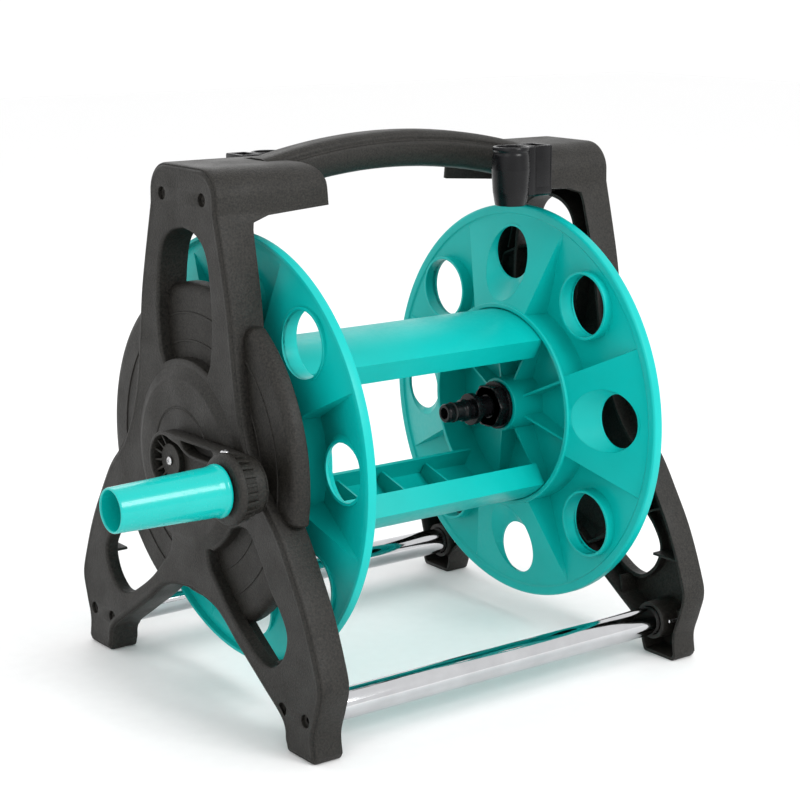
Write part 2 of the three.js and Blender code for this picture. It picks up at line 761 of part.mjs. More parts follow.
const outletNut = () =>
  hexagon(OUTLET_BARREL_END + FIT, 108.6, 18.5)
    .add(rod(105.5, 108.6, 19.5, 24))
    .subtract(rod(90, 120, 11 + FIT, 16));

// Hollow axle on the +X side: nut thread, hexagon, shoulder, journal and sealed spigot.
function waterAxle() {
  const outside = union([
    rod(98, 111, 11, 20),
    hexagon(109.5, 147, HEX_RADIUS),
    rod(146.4, 149.6, BUSH_RADIUS - 0.6, 20),
    rod(149, 184, JOURNAL_RADIUS, 20),
    turned(
      [
        [183, 0],
        [183, 8.7],
        [190, 8.7],
        [190, 7],
        [192.6, 7],
        [192.6, 8.7],
        [195.6, 8.7],
        [195.6, 7],
        [198.2, 7],
        [198.2, 8.7],
        [201, 8.7],
        [201, 0],
      ],
      16,
    ),
  ]);
  return outside
    .subtract(rod(90, 210, WATER_BORE_RADIUS, 16))
    .subtract(rod(90, 111.5, 6 + FIT, 20));
}

// Solid axle on the -X side, put in from inside the drum; the crank sits on its square end.
function crankAxle() {
  const outside = union([
    rod(-108.65, -104, 18, 20).subtract(rod(-108.9, -104, 9, 6)),
    hexagon(-147, -108.5, HEX_RADIUS),
    rod(-149.6, -146.4, BUSH_RADIUS - 0.6, 20),
    rod(-186, -149, JOURNAL_RADIUS, 20),
    box(-191.5, -185, -8, 8, -8, 8),
  ]);
  return outside.subtract(rod(-193, -176, SCREW_HOLE_RADIUS, 10));
}

const bearingBush = () =>
  tube(-184, SLEEVE_END + FIT, JOURNAL_RADIUS + FIT, BUSH_RADIUS, 16)
    .add(tube(SLEEVE_END + FIT, -150.4, JOURNAL_RADIUS + FIT, BUSH_RADIUS + 4, 16));

// Fixed inlet on the +X side: flange, seal chamber and nipple for the supply hose.
function inletConnector() {
  const flangeX = BOSS_FACE + FIT;
  const outside = turned(
    [
      [flangeX, 0],
      [flangeX, 25],
      [flangeX + 4, 25],
      [flangeX + 4, 14.5],
      [204, 13.5],
      [207, 11],
      [207, 8.7],
      [214, 8.7],
      [215.5, 9.2],
      [218.5, 9.2],
      [219.5, 7.6],
      [224, 7.6],
      [224, 5.9],
      [227, 5.9],
      [227, 7.6],
      [INLET_END - 1.5, 7.6],
      [INLET_END, 6.8],
      [INLET_END, 0],
    ],
    16,
  );
  const chamber = rod(180, 202, 8.7 + FIT, 16);
  let body = outside.subtract(chamber).subtract(rod(180, 240, WATER_BORE_RADIUS, 16));
  for (const side of SIDES) {
    body = body.subtract(rod(180, 195, SCREW_HOLE_RADIUS, 10, side * INLET_SCREW_Y, 0));
  }
  return body;
}

// ---- Crank ------------------------------------------------------------------------------------

// Outline of two circles joined by their common tangents, the pad towards -Y.
function strapOutline(hubRadius, padRadius) {
  const lean = Math.asin((padRadius - hubRadius) / CRANK_RADIUS);
  const quarter = Math.PI / 2;
  return [
    ...arcPoints(0, 0, hubRadius, -quarter - lean, quarter + lean, 8),
    ...arcPoints(-CRANK_RADIUS, 0, padRadius, quarter + lean, 3 * quarter - lean, 8),
  ];
}

// Pockets in the arm's outer side: a large one that narrows behind the hub, and one above and
// one below it between its curved wall and the rim.
function crankPockets() {
  const round = arcPoints(0, 0, 19.2, 0, Math.PI / 2 + 0.4, 5);
  const wall = smooth([[-19, 15.4], [-31, 9.8], [-45, 8.4], [-62, 8.4]], 5);
  const upper = [...round, ...wall];
  const lower = upper.map((p) => new THREE.Vector2(p.x, -p.y)).reverse();
  const main = [...upper, ...lower].filter(notRepeated);
  const side = [[-23, 19.2], [-28, 13.6], [-35, 11.2], [-46, 10.6], [-66, 10.6], [-66, 18.6]];
  const above = points2(side);
  const below = points2(side.map(([y, z]) => [y, -z]).reverse());
  return [main, above, below].map((outline) =>
    prismX(outline, -CRANK_FRONT - 1, -CRANK_BACK - 3),
  );
}

function crankArm() {
  let arm = prismX(strapOutline(CRANK_HUB_RADIUS, CRANK_PAD_RADIUS), -CRANK_FRONT, -CRANK_BACK);
  for (const pocket of crankPockets()) arm = arm.subtract(pocket);
  const hubBoss = rod(-CRANK_BOSS_FRONT, -CRANK_BACK, 12.4, 16);
  const spokes = [0, 1, 2, 3, 4].map((i) => {
    const plate = points2(
      [[-CRANK_BOSS_FRONT, 10], [-CRANK_BACK, 10], [-CRANK_BACK, 20], [-CRANK_BOSS_FRONT, 20]],
    );
    return radialPlate(plate, 1.6, Math.PI + (i + 0.5) * 0.62);
  });
  const collar = turned(
    [
      [-COLLAR_FRONT, 0],
      [-COLLAR_FRONT, CRANK_COLLAR_RADIUS - 3],
      [-COLLAR_FRONT + 1.2, CRANK_COLLAR_RADIUS - 0.9],
      [-COLLAR_FRONT + 3.5, CRANK_COLLAR_RADIUS],
      [-COLLAR_FRONT + 6, CRANK_COLLAR_RADIUS],
      [-COLLAR_FRONT + 6, CRANK_COLLAR_RADIUS - 2],
      [-COLLAR_BACK, CRANK_COLLAR_RADIUS - 3],
      [-COLLAR_BACK, CRANK_PAD_RADIUS - 0.5],
      [-CRANK_BACK, CRANK_PAD_RADIUS - 0.5],
      [-CRANK_BACK, 0],
    ],
    24,
    -CRANK_RADIUS,
    0,
  );
  const toothFront = -COLLAR_FRONT + 5;
  const tooth = points2(
    [[toothFront, 18], [-COLLAR_BACK, 18], [-COLLAR_BACK, 23.4], [toothFront, 24.4]],
  );
  const teeth = Array.from({ length: 7 }, (_, i) =>
    radialPlate(tooth, 1.8, THREE.MathUtils.degToRad(18 + i * 24), -CRANK_RADIUS),
  );
  const socket = box(-191.9, -CRANK_BACK + 1, -8.3, 8.3, -8.3, 8.3);
  return union([arm, hubBoss, ...spokes, collar, ...teeth])
    .subtract(socket)
    .subtract(rod(-CRANK_BOSS_FRONT - 1, -190, SCREW_HOLE_RADIUS, 10))
    .subtract(rod(-COLLAR_FRONT - 1, -191.5, SPINDLE_RADIUS + FIT, 24, -CRANK_RADIUS, 0))
    .subtract(post(CLAMP_X, CLAMP_Y, CLAMP_SEAT, 30, SCREW_HEAD_RADIUS + 0.5))
    .subtract(post(CLAMP_X, CLAMP_Y, 8.5, 30, SCREW_HOLE_RADIUS, 10));
}

// Screw that clamps the grip's spindle, set into the top of the collar.
function clampScrew() {
  const head = post(CLAMP_X, CLAMP_Y, CLAMP_SEAT + FIT, CLAMP_SEAT + 3, SCREW_HEAD_RADIUS);
  return head.add(post(CLAMP_X, CLAMP_Y, 9, CLAMP_SEAT + 1, SCREW_SHANK_RADIUS, 10));
}

const gripSpindle = () =>
  rod(-SPINDLE_END, -192, SPINDLE_RADIUS, 24).subtract(
    rod(-SPINDLE_END - 1, -SPINDLE_END + 14, SCREW_HOLE_RADIUS, 10),
  );

// Hollow tapered grip with a flared base and a bearing tube on its axis.
const grip = () =>
  turned(
    [
      [-GRIP_BASE, SPINDLE_RADIUS + FIT],
      [-GRIP_BASE, 18.2],
      [-GRIP_BASE - 2.4, 18.5],
      [-GRIP_BASE - 5, 17.6],
      [-GRIP_BASE - 9, 17.2],
      [-GRIP_END + 1, 15.2],
      [-GRIP_END, 14.6],
      [-GRIP_END, 13.7],
      [-GRIP_END + 1, 13.3],
      [-GRIP_BASE - 9, 15.2],
      [-GRIP_BASE - 3, 15.2],
      [-GRIP_BASE - 3, 7.6],
      [-SPINDLE_END + 0.6, 7.6],
      [-SPINDLE_END + 0.6, SPINDLE_RADIUS + FIT],
    ],
    20,
  );

// ---- Assembly ---------------------------------------------------------------------------------

// The inlet ends short of the grip, so the frame stands off-centre in the overall length.
const reel = new THREE.Group();
reel.position.x = (GRIP_END - INLET_END) / 2;

const HALF_TURN = Math.PI;
const opposite = new THREE.Group();
opposite.rotation.z = HALF_TURN;
const here = new THREE.Group();
reel.add(here, opposite);

// Pieces that come in pairs, the second turned half round the vertical.
const PAIR = [[here, "left"], [opposite, "right"]];

for (const [group, sideName] of PAIR) {
  group.add(mesh(`end_frame_${sideName}`, endFrame(), GRAINED_BLACK));
  footScrews.forEach(([y, z], i) => {
    const seat = -FRAME_OUTER + RECESS_DEPTH - 0.2;
    const body = screw(seat - SCREW_HEAD_THICKNESS, seat, -165, y, z);
    group.add(mesh(`foot_screw_${sideName}_${i + 1}`, body, STEEL));
  });
  headScrews.forEach(([y, z], i) => {
    const seat = -FRAME_OUTER + RECESS_DEPTH - 0.2;
    const body = screw(seat - SCREW_HEAD_THICKNESS, seat, -160, y, z);
    group.add(mesh(`handle_screw_${sideName}_${i + 1}`, body, STEEL));
  });
  const bush = mesh(`bearing_bush_${sideName}`, bearingBush(), NATURAL_NYLON);
  bush.position.z = AXIS_Z;
  group.add(bush);
}
here.add(mesh("tool_holder_front", toolHolder(), GLOSS_BLACK));
const rearHolder = mesh("tool_holder_rear", toolHolder(), GLOSS_BLACK);
rearHolder.position.z = -REAR_HOLDER_DROP;
opposite.add(rearHolder);
reel.add(mesh("carry_handle", carryHandle(), GRAINED_BLACK));

for (const [side, name] of [[-1, "front"], [1, "rear"]]) {
  const body = tube(-TUBE_HALF, TUBE_HALF, TUBE_RADIUS - TUBE_WALL, TUBE_RADIUS, 20);
  const tie = mesh(`tie_tube_${name}`, body, CHROME);
  tie.position.set(0, side * TUBE_Y, TUBE_Z);
  reel.add(tie);
}

const inlet = new THREE.Group();
inlet.position.z = AXIS_Z;
inlet.add(mesh("inlet_connector", inletConnector(), GLOSS_BLACK));
SIDES.forEach((side, i) => {
  const body = screw(-192.2, -189.7, -182.6, side * INLET_SCREW_Y, 0);
  const fastener = mesh(`inlet_screw_${i + 1}`, body, STEEL);
  fastener.rotation.z = HALF_TURN;
  inlet.add(fastener);
});
reel.add(inlet);

const drum = new THREE.Group();
drum.position.z = AXIS_Z;
drum.rotation.x = DRUM_TURN;
reel.add(drum);
const flangeBody = flange();
drum.add(mesh("flange_right", flangeBody, TEAL));
const flangeLeft = mesh("flange_left", flangeBody, TEAL);
flangeLeft.rotation.z = HALF_TURN;
const staveBody = stave();
const staveLow = mesh("stave_bottom", staveBody, TEAL);
staveLow.rotation.x = HALF_TURN;
drum.add(flangeLeft, mesh("stave_top", staveBody, TEAL), staveLow);
drum.add(mesh("water_axle", waterAxle(), GLOSS_BLACK));
drum.add(mesh("crank_axle", crankAxle(), GLOSS_BLACK));
drum.add(mesh("outlet_nipple", outletNipple(), GLOSS_BLACK));
drum.add(mesh("outlet_nut", outletNut(), GLOSS_BLACK));
drum.add(mesh("outlet_o_ring", sealRing(61.5, 6.2, 8.2), RUBBER));
drum.add(mesh("axle_o_ring_inner", sealRing(191.3, 7.3, 8.75), RUBBER));
drum.add(mesh("axle_o_ring_outer", sealRing(196.9, 7.3, 8.75), RUBBER));

const crank = new THREE.Group();
crank.position.z = AXIS_Z;
crank.rotation.x = CRANK_TURN;
reel.add(crank);
crank.add(mesh("crank_arm", crankArm(), GRAINED_BLACK));
const crankSeat = -CRANK_BOSS_FRONT - FIT;
const crankScrew = screw(crankSeat - SCREW_HEAD_THICKNESS, crankSeat, -178, 0, 0);
crank.add(mesh("crank_screw", crankScrew, STEEL));
crank.add(mesh("spindle_clamp_screw", clampScrew(), STEEL));

const pin = new THREE.Group();
pin.position.y = -CRANK_RADIUS;
crank.add(pin);
pin.add(mesh("grip_spindle", gripSpindle(), STEEL));
pin.add(mesh("crank_grip", grip(), TEAL_GRIP));
pin.add(mesh("grip_washer", tube(-SPINDLE_END - 1.9, -SPINDLE_END - FIT, 2.2, 8.6, 24), STEEL));
pin.add(mesh("grip_screw", screw(-262, -SPINDLE_END - 2.2, -246, 0, 0), STEEL));

export default reel;
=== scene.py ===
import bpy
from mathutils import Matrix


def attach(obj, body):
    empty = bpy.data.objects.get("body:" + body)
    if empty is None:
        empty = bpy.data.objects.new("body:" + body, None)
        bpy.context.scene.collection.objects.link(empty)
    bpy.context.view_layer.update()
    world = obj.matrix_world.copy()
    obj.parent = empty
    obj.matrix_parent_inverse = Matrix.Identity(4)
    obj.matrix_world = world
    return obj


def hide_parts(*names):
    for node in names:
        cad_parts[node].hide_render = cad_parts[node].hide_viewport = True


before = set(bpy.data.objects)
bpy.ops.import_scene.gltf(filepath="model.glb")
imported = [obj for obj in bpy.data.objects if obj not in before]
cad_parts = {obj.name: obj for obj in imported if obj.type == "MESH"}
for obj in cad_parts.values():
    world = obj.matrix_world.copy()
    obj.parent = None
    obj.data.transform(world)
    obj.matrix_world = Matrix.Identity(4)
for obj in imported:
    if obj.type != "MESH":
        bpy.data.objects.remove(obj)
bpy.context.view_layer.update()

import math

import bmesh
import bpy
from mathutils import Matrix, Vector, geometry

# ---- Dimensions, in millimetres as on the CAD model -----------------------------------------

MM = 0.001
SHIFT_X = 32.5  # the CAD frame's offset of the middle plane
AXIS_Z = 183.0
DRUM_TURN = math.radians(-3)
CRANK_TURN = math.radians(-1.5)
CRANK_RADIUS = 98.0

FRAME_OUTER = 181.3
FRAME_INNER = 158.0
HEAD_INNER = 153.0
FRAME_TOP = 393.0
WALL = 3.0
GUARD_RADIUS = 126.0
GUARD_OUTER = 172.0
GUARD_INNER = 159.5
GUARD_LOW = 155.0
GUARD_HIGH = 287.0
BOSS_FACE = 185.0
ARM_END = 83.4
ARM_LOW = 363.3
ARM_ROUND = 14.0
ARM_LEAN = 4.6  # how far the arm's end leans back below its rounding
SLEEVE_RADIUS = 20.4
TUBE_Y = 134.4
TUBE_Z = 28.0
TUBE_RADIUS = 11.05
TUBE_WALL = 1.2
TUBE_HALF = 170.5
TROUGH_HALF = 15.4
TROUGH_END = 119.0
RECESS_RADIUS = 5.0
RECESS_DEPTH = 7.6
SCREW_HEAD_RADIUS = 3.2

RIM_RADIUS = 159.8
WEB_OUTER_RADIUS = 151.0
WEB_OUTER_X = 130.0
RING_RADIUS = 80.0
RAISED_X = 112.0
SUNK_X = 136.0
SKIN = 2.6
HOLE_PITCH = 121.5
HOLE_RADIUS = 21.0
COLLAR_RADIUS = 24.2
COLLAR_WALL = 2.3
COLLAR_FRONT = 123.5
COLLAR_BACK = 136.0
SINK_FLOOR = 127.6
SINK_DEPTH = 19.0
SINK_SLOPE = 0.57
SINK_WALL = 2
SINK_TURNS = [2 * math.pi * i / 96 for i in range(96)]
HUB_FLOOR = 138.5
FLANGE_BACK = 150.0  # safely behind every face of the flange
BORE_RADIUS = 12.9

SIDES = (-1, 1)

# ---- Outline helpers ------------------------------------------------------------------------


def arc(y, z, radius, start, stop, steps):
    turn = [start + (stop - start) * i / steps for i in range(steps + 1)]
    return [(y + radius * math.cos(a), z + radius * math.sin(a)) for a in turn]


def smooth(points, steps):
    """Points evenly spread in parameter along a Catmull-Rom curve through the given ones."""
    last = len(points) - 1
    made = []
    for i in range(steps + 1):
        place = last * i / steps
        k = min(int(place), last - 1)
        t = place - k
        p0, p1, p2, p3 = (points[max(0, min(last, k + d))] for d in (-1, 0, 1, 2))
        made.append(tuple(
            0.5 * (2 * b + (c - a) * t + (2 * a - 5 * b + 4 * c - d) * t**2
                   + (3 * b - a - 3 * c + d) * t**3)
            for a, b, c, d in zip(p0, p1, p2, p3)))
    return made


def rounded(points, radius, steps=4, loop=True):
    """The polyline with each corner replaced by a small curve."""
    made = []
    count = len(points)
    for i, point in enumerate(points):
        if not loop and i in (0, count - 1):
            made.append(point)
            continue
        corner = Vector(point)
        back = Vector(points[i - 1]) - corner
        ahead = Vector(points[(i + 1) % count]) - corner
        cut = min(radius, 0.45 * back.length, 0.45 * ahead.length)
        first = corner + back.normalized() * cut
        last = corner + ahead.normalized() * cut
        for k in range(steps + 1):
            t = k / steps
            made.append(tuple(first * (1 - t)**2 + corner * 2 * t * (1 - t) + last * t**2))
    return made


def both_sides(half):
    """A closed outline from its right half, top to bottom."""
    whole = half + [(-y, z) for y, z in reversed(half)]
    return [p for i, p in enumerate(whole) if math.dist(p, whole[i - 1]) > 1e-3]


def area(outline):
    return sum(a[0] * b[1] - b[0] * a[1] for a, b in zip(outline, outline[1:] + outline[:1])) / 2


def inset(outline, distance):
    """A closed outline moved inwards, or outwards by a negative distance."""
    way = distance if area(outline) > 0 else -distance
    made = []
    count = len(outline)
    for i, point in enumerate(outline):
        into = (Vector(point) - Vector(outline[i - 1])).normalized()
        away = (Vector(outline[(i + 1) % count]) - Vector(point)).normalized()
        normal = Vector((-into.y - away.y, into.x + away.x)).normalized()
        spread = max(0.5, normal.dot(Vector((-into.y, into.x))))
        made.append(tuple(Vector(point) + normal * way / spread))
    return made


# ---- Mesh helpers ---------------------------------------------------------------------------


class Shape:
    """Vertices in millimetres and faces, gathered before they become a mesh."""

    def __init__(self):
        self.verts = []
        self.faces = []

    def loft(self, rings, closed=True, loop=False):
        """Joins successive rings of points by quads."""
        start = len(self.verts)
        count = len(rings[0])
        for ring in rings:
            self.verts += ring
        for i in range(len(rings) if loop else len(rings) - 1):
            a = start + i * count
            b = start + ((i + 1) % len(rings)) * count
            for j in range(count if closed else count - 1):
                k = (j + 1) % count
                self.faces.append((a + j, a + k, b + k, b + j))

    def fill(self, x, outer, holes=()):
        """A flat face across X, with holes."""
        loops = [[Vector((y, z, 0)) for y, z in loop] for loop in (outer, *holes)]
        start = len(self.verts)
        self.verts += [(x, p.x, p.y) for loop in loops for p in loop]
        for face in geometry.tessellate_polygon(loops):
            self.faces.append(tuple(start + i for i in face))

    def sweep(self, outline, section, loop=False):
        """Rings of the outline at (inset, x) pairs; x may be a list with one value a point."""
        rings = []
        for distance, x in section:
            depth = x if isinstance(x, list) else [x] * len(outline)
            rings.append([(d, y, z) for d, (y, z) in zip(depth, inset(outline, distance))])
        self.loft(rings, loop=loop)

    def slab(self, outline, x0, x1, edge=0.4, holes=()):
        """A plate across X with rounded edges and rounded holes."""
        soft = [(edge, x0), (0.3 * edge, x0 + 0.3 * edge), (0, x0 + edge)]
        soft += [(0, x1 - edge), (0.3 * edge, x1 - 0.3 * edge), (edge, x1)]
        self.sweep(outline, soft)
        for hole in holes:
            self.sweep(hole, [(-d, x) for d, x in soft])
        for x in (x0, x1):
            self.fill(x, inset(outline, edge), [inset(hole, -edge) for hole in holes])

    def lathe(self, profile, steps=96, y=0.0, z=0.0, loop=False):
        """A solid turned about an axis along X through (y, z), from (x, radius) pairs."""
        rings = []
        for x, radius in profile:
            turn = [2 * math.pi * i / steps for i in range(steps)]
            rings.append([(x, y - radius * math.sin(a), z + radius * math.cos(a)) for a in turn])
        self.loft(rings, loop=loop)

    def rod(self, x0, x1, radius, y=0.0, z=0.0, edge=0.4, steps=64):
        self.lathe(rounded([(x0, 0), (x0, radius), (x1, radius), (x1, 0)], edge, loop=False),
                   steps, y, z)

    def tube(self, x0, x1, inner, outer, y=0.0, z=0.0, edge=0.3, steps=64):
        outline = rounded([(x0, inner), (x0, outer), (x1, outer), (x1, inner)], edge)
        self.lathe(outline, steps, y, z, loop=True)

    def plate(self, outline, thickness, angle, y=0.0, z=0.0):
        """A radial plate of an (x, radius) outline, at an angle from +Z towards -Y."""
        rings = [[(x, side * thickness / 2, r) for x, r in outline] for side in SIDES]
        turn = Matrix.Translation((0, y, z)) @ Matrix.Rotation(angle, 4, "X")
        rings = [[tuple(turn @ Vector(p)) for p in ring] for ring in rings]
        start = len(self.verts)
        self.loft(rings)
        count = len(outline)
        self.faces.append(tuple(range(start, start + count)))
        self.faces.append(tuple(range(start + count, start + 2 * count)))

    def take(self, other, matrix=None):
        """Adds another shape, moved by a matrix."""
        start = len(self.verts)
        moved = other.verts if matrix is None else [tuple(matrix @ Vector(v)) for v in other.verts]
        self.verts += moved
        self.faces += [tuple(start + i for i in face) for face in other.faces]

    def mesh(self, name, matrix=Matrix.Identity(4)):
        """The shape as a Blender mesh in metres."""
        made = bpy.data.meshes.new(name)
        made.from_pydata([matrix @ Vector(v) for v in self.verts], [], self.faces)
        work = bmesh.new()
        work.from_mesh(made)
        bmesh.ops.remove_doubles(work, verts=work.verts, dist=0.008)
        bmesh.ops.dissolve_degenerate(work, edges=work.edges, dist=0.002)
        bmesh.ops.recalc_face_normals(work, faces=work.faces)
        work.to_mesh(made)
        work.free()
        return made


HALF_TURN = Matrix.Rotation(math.pi, 4, "Z")
ON_FRAME = Matrix.Translation((SHIFT_X, 0, 0))
ON_AXIS = ON_FRAME @ Matrix.Translation((0, 0, AXIS_Z))
ON_DRUM = ON_AXIS @ Matrix.Rotation(DRUM_TURN, 4, "X")
ON_CRANK = ON_AXIS @ Matrix.Rotation(CRANK_TURN, 4, "X")


def piece(name, shape, look, body, nodes, place=ON_FRAME, sharp=32):
    """Makes the object that stands for the CAD nodes and rides on a body."""
    made = shape if isinstance(shape, bpy.types.Mesh) else shape.mesh(name)
    made.transform(Matrix.Scale(MM, 4) @ place)
    made.shade_smooth()
    made.set_sharp_from_angle(angle=math.radians(sharp))
    obj = bpy.data.objects.new(name, made)
    bpy.context.scene.collection.objects.link(obj)
    made.materials.append(look)
    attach(obj, body)
    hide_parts(*nodes)
    return obj


def without(mesh, cutters):
    """The mesh with the cutters' shapes taken out."""
    base = bpy.data.objects.new("base", mesh)
    bpy.context.scene.collection.objects.link(base)
    cutting = Shape()
    for cutter in cutters:
        cutting.take(cutter)
    tool = bpy.data.objects.new("tool", cutting.mesh("tool"))
    bpy.context.scene.collection.objects.link(tool)
    step = base.modifiers.new("cut", "BOOLEAN")
    step.operation = "DIFFERENCE"
    step.solver = "EXACT"
    step.object = tool
    graph = bpy.context.evaluated_depsgraph_get()
    made = bpy.data.meshes.new_from_object(base.evaluated_get(graph))
    bpy.data.objects.remove(base)
    bpy.data.objects.remove(tool)
    return made


def joined(mesh, shape):
    """The mesh with a shape's faces added."""
    work = bmesh.new()
    work.from_mesh(mesh)
    work.from_mesh(shape.mesh("added"))
    work.to_mesh(mesh)
    work.free()
    return mesh


# ---- Materials ------------------------------------------------------------------------------


class Look:
    """A node material, with helpers for the nodes that every finish here uses."""

    def __init__(self, name, metallic=0.0, **constants):
        self.material = bpy.data.materials.new(name)
        self.material.use_nodes = True
        self.nodes = self.material.node_tree.nodes
        self.links = self.material.node_tree.links
        self.shader = self.nodes["Principled BSDF"]
        self.shader.inputs["Metallic"].default_value = metallic
        for socket, value in constants.items():
            self.shader.inputs[socket.replace("_", " ")].default_value = value
        self.place = self.nodes.new("ShaderNodeTexCoord").outputs["Object"]

    def noise(self, scale, detail=3.0, roughness=0.5, stretch=None):
        source = self.place
        if stretch:
            mapping = self.nodes.new("ShaderNodeMapping")
            mapping.inputs["Scale"].default_value = stretch
            self.links.new(source, mapping.inputs["Vector"])
            source = mapping.outputs["Vector"]
        node = self.nodes.new("ShaderNodeTexNoise")
        node.inputs["Scale"].default_value = scale
        node.inputs["Detail"].default_value = detail
        node.inputs["Roughness"].default_value = roughness
        self.links.new(source, node.inputs["Vector"])
        return node.outputs["Fac"]

    def between(self, value, low, high, start=0.3, stop=0.7):
        node = self.nodes.new("ShaderNodeMapRange")
        node.inputs["From Min"].default_value = start
        node.inputs["From Max"].default_value = stop
        node.inputs["To Min"].default_value = low
        node.inputs["To Max"].default_value = high
        self.links.new(value, node.inputs["Value"])
        return node.outputs["Result"]

    def colour(self, value, *stops):
        ramp = self.nodes.new("ShaderNodeValToRGB")
        band = ramp.color_ramp
        for i, (position, rgb) in enumerate(stops):
            stop = band.elements[i] if i < 2 else band.elements.new(position)
            stop.position = position
            stop.color = (*rgb, 1)
        self.links.new(value, ramp.inputs["Fac"])
        self.links.new(ramp.outputs["Color"], self.shader.inputs["Base Color"])

    def rough(self, value, low, high):
        self.links.new(self.between(value, low, high), self.shader.inputs["Roughness"])

    def bump(self, *layers):
        """Stacks (height, distance in metres, strength) layers of bump."""
        before = None
        for height, distance, strength in layers:
            node = self.nodes.new("ShaderNodeBump")
            node.inputs["Distance"].default_value = distance
            node.inputs["Strength"].default_value = strength
            self.links.new(height, node.inputs["Height"])
            if before:
                self.links.new(before, node.inputs["Normal"])
            before = node.outputs["Normal"]
        self.links.new(before, self.shader.inputs["Normal"])


def grained_black():
    look = Look("grained_black_plastic", Specular_IOR_Level=0.3)
    grain = look.noise(700, 4, 0.65)
    look.colour(grain, (0.35, (0.003, 0.0028, 0.0022)), (0.65, (0.022, 0.020, 0.0165)))
    look.rough(look.noise(45, 5), 0.45, 0.6)
    look.bump((grain, 0.0004, 0.9), (look.noise(60, 2), 0.0004, 0.12))
    return look.material


def gloss_black():
    look = Look("gloss_black_plastic", Specular_IOR_Level=0.22)
    look.colour(look.noise(30, 3), (0.3, (0.002, 0.002, 0.0025)), (0.7, (0.006, 0.006, 0.007)))
    look.rough(look.noise(160, 4), 0.22, 0.32)
    look.bump((look.noise(80, 2), 0.0003, 0.1))
    return look.material


def teal():
    look = Look("teal_plastic", Specular_IOR_Level=0.25)
    look.colour(look.noise(22, 4), (0.25, (0.0, 0.41, 0.38)), (0.75, (0.0, 0.46, 0.43)))
    look.rough(look.noise(260, 4), 0.34, 0.46)
    look.bump((look.noise(420, 3), 0.00006, 0.35), (look.noise(28, 2), 0.0006, 0.1))
    return look.material


def teal_grip():
    look = Look("polished_teal_plastic", Specular_IOR_Level=0.3, Coat_Weight=0.25,
                Coat_Roughness=0.08)
    look.colour(look.noise(25, 3), (0.3, (0.0, 0.40, 0.37)), (0.7, (0.0, 0.44, 0.405)))
    look.rough(look.noise(200, 4), 0.2, 0.3)
    look.bump((look.noise(35, 2), 0.0005, 0.12))
    return look.material


def metal(name, tint, low, high, scratch):
    look = Look(name, metallic=1.0)
    dark = tuple(0.9 * c for c in tint)
    look.colour(look.noise(60, 3), (0.3, dark), (0.7, tint))
    lines = look.noise(120, 4, stretch=scratch)
    look.rough(lines, low, high)
    look.bump((lines, 0.00005, 0.15))
    return look.material


def plain(name, low_tint, high_tint, low, high):
    look = Look(name)
    look.colour(look.noise(90, 4), (0.3, low_tint), (0.7, high_tint))
    look.rough(look.noise(300, 4), low, high)
    look.bump((look.noise(600, 3), 0.00005, 0.3))
    return look.material


BLACK = grained_black()
GLOSS = gloss_black()
TEAL = teal()
GRIP = teal_grip()
CHROME = metal("chrome_plate", (0.56, 0.565, 0.58), 0.05, 0.12, (1, 14, 14))
STEEL = metal("zinc_plated_steel", (0.62, 0.62, 0.63), 0.2, 0.36, (8, 8, 8))
RUBBER = plain("nitrile_rubber", (0.008, 0.008, 0.008), (0.014, 0.014, 0.014), 0.6, 0.8)
NYLON = plain("natural_nylon", (0.6, 0.57, 0.5), (0.68, 0.65, 0.58), 0.4, 0.55)

# ---- End frames -----------------------------------------------------------------------------


def frame_outline():
    head = arc(23.5, FRAME_TOP - 22, 22, math.pi / 2, 0.12, 16)
    leg = smooth(
        [(45.6, 363), (60.5, 303), (66.5, 262), (75, 217), (92, 181), (117, 155), (134, 130),
         (150, 103), (163.2, 72), (168.0, 54), (163.5, 36), (158.5, 20), (160, 5)], 132)
    foot = rounded([(160, 5), (157.5, 0), (125, 0), (122, 8)], 2.5, loop=False)[1:-1]
    arch = smooth([(122, 8), (118, 21), (92, 39), (62, 59), (34, 78), (0, 84.5)], 40)
    trough = [(0, FRAME_TOP), (TROUGH_HALF, FRAME_TOP), (TROUGH_HALF + 0.05, FRAME_TOP)]
    return both_sides(trough + head + [(45.6, 363.05)] + leg + foot + arch)


def top_slot():
    crown = smooth([(0, 349), (17, 345), (29, 334), (34.5, 312), (36.5, 281), (33, 256)], 30)
    foot = arc(0, AXIS_Z, 72, math.pi / 2 - 0.42, math.pi / 2, 8)
    return both_sides(crown + foot)


def lower_slot(side):
    edge = smooth(
        [(25, 121), (28, 108), (40, 95), (57, 79), (79, 64), (95, 56), (108, 56), (121, 67),
         (126, 83), (119, 97), (107, 110), (93, 131), (80, 146), (67, 147)], 78)
    hub = arc(0, AXIS_Z, 70, -0.61, -1.1, 10)
    return [(side * y, z) for y, z in edge + hub]


CORNER = smooth([(-HEAD_INNER, 345), (-152.4, 352), (-150.8, 356.6), (-146.5, 359.2)], 24)


def leg_end(y, z):
    """How far towards the drum the frame's outer wall reaches at a point of its outline."""
    profile = [(-FRAME_INNER, 0), (-FRAME_INNER, 180)] + CORNER + [(-ARM_END, ARM_LOW)]
    if z >= FRAME_TOP - 0.01 and abs(y) <= TROUGH_HALF + 0.01:
        return -TROUGH_END
    if z > ARM_LOW:
        rise = max(0, z - (FRAME_TOP - ARM_ROUND))
        return -ARM_END - ARM_LEAN - ARM_ROUND + math.sqrt(max(0, ARM_ROUND**2 - rise**2))
    for (x0, z0), (x1, z1) in zip(profile, profile[1:]):
        if z <= z1:
            return x0 + (x1 - x0) * (z - z0) / (z1 - z0)
    return -ARM_END


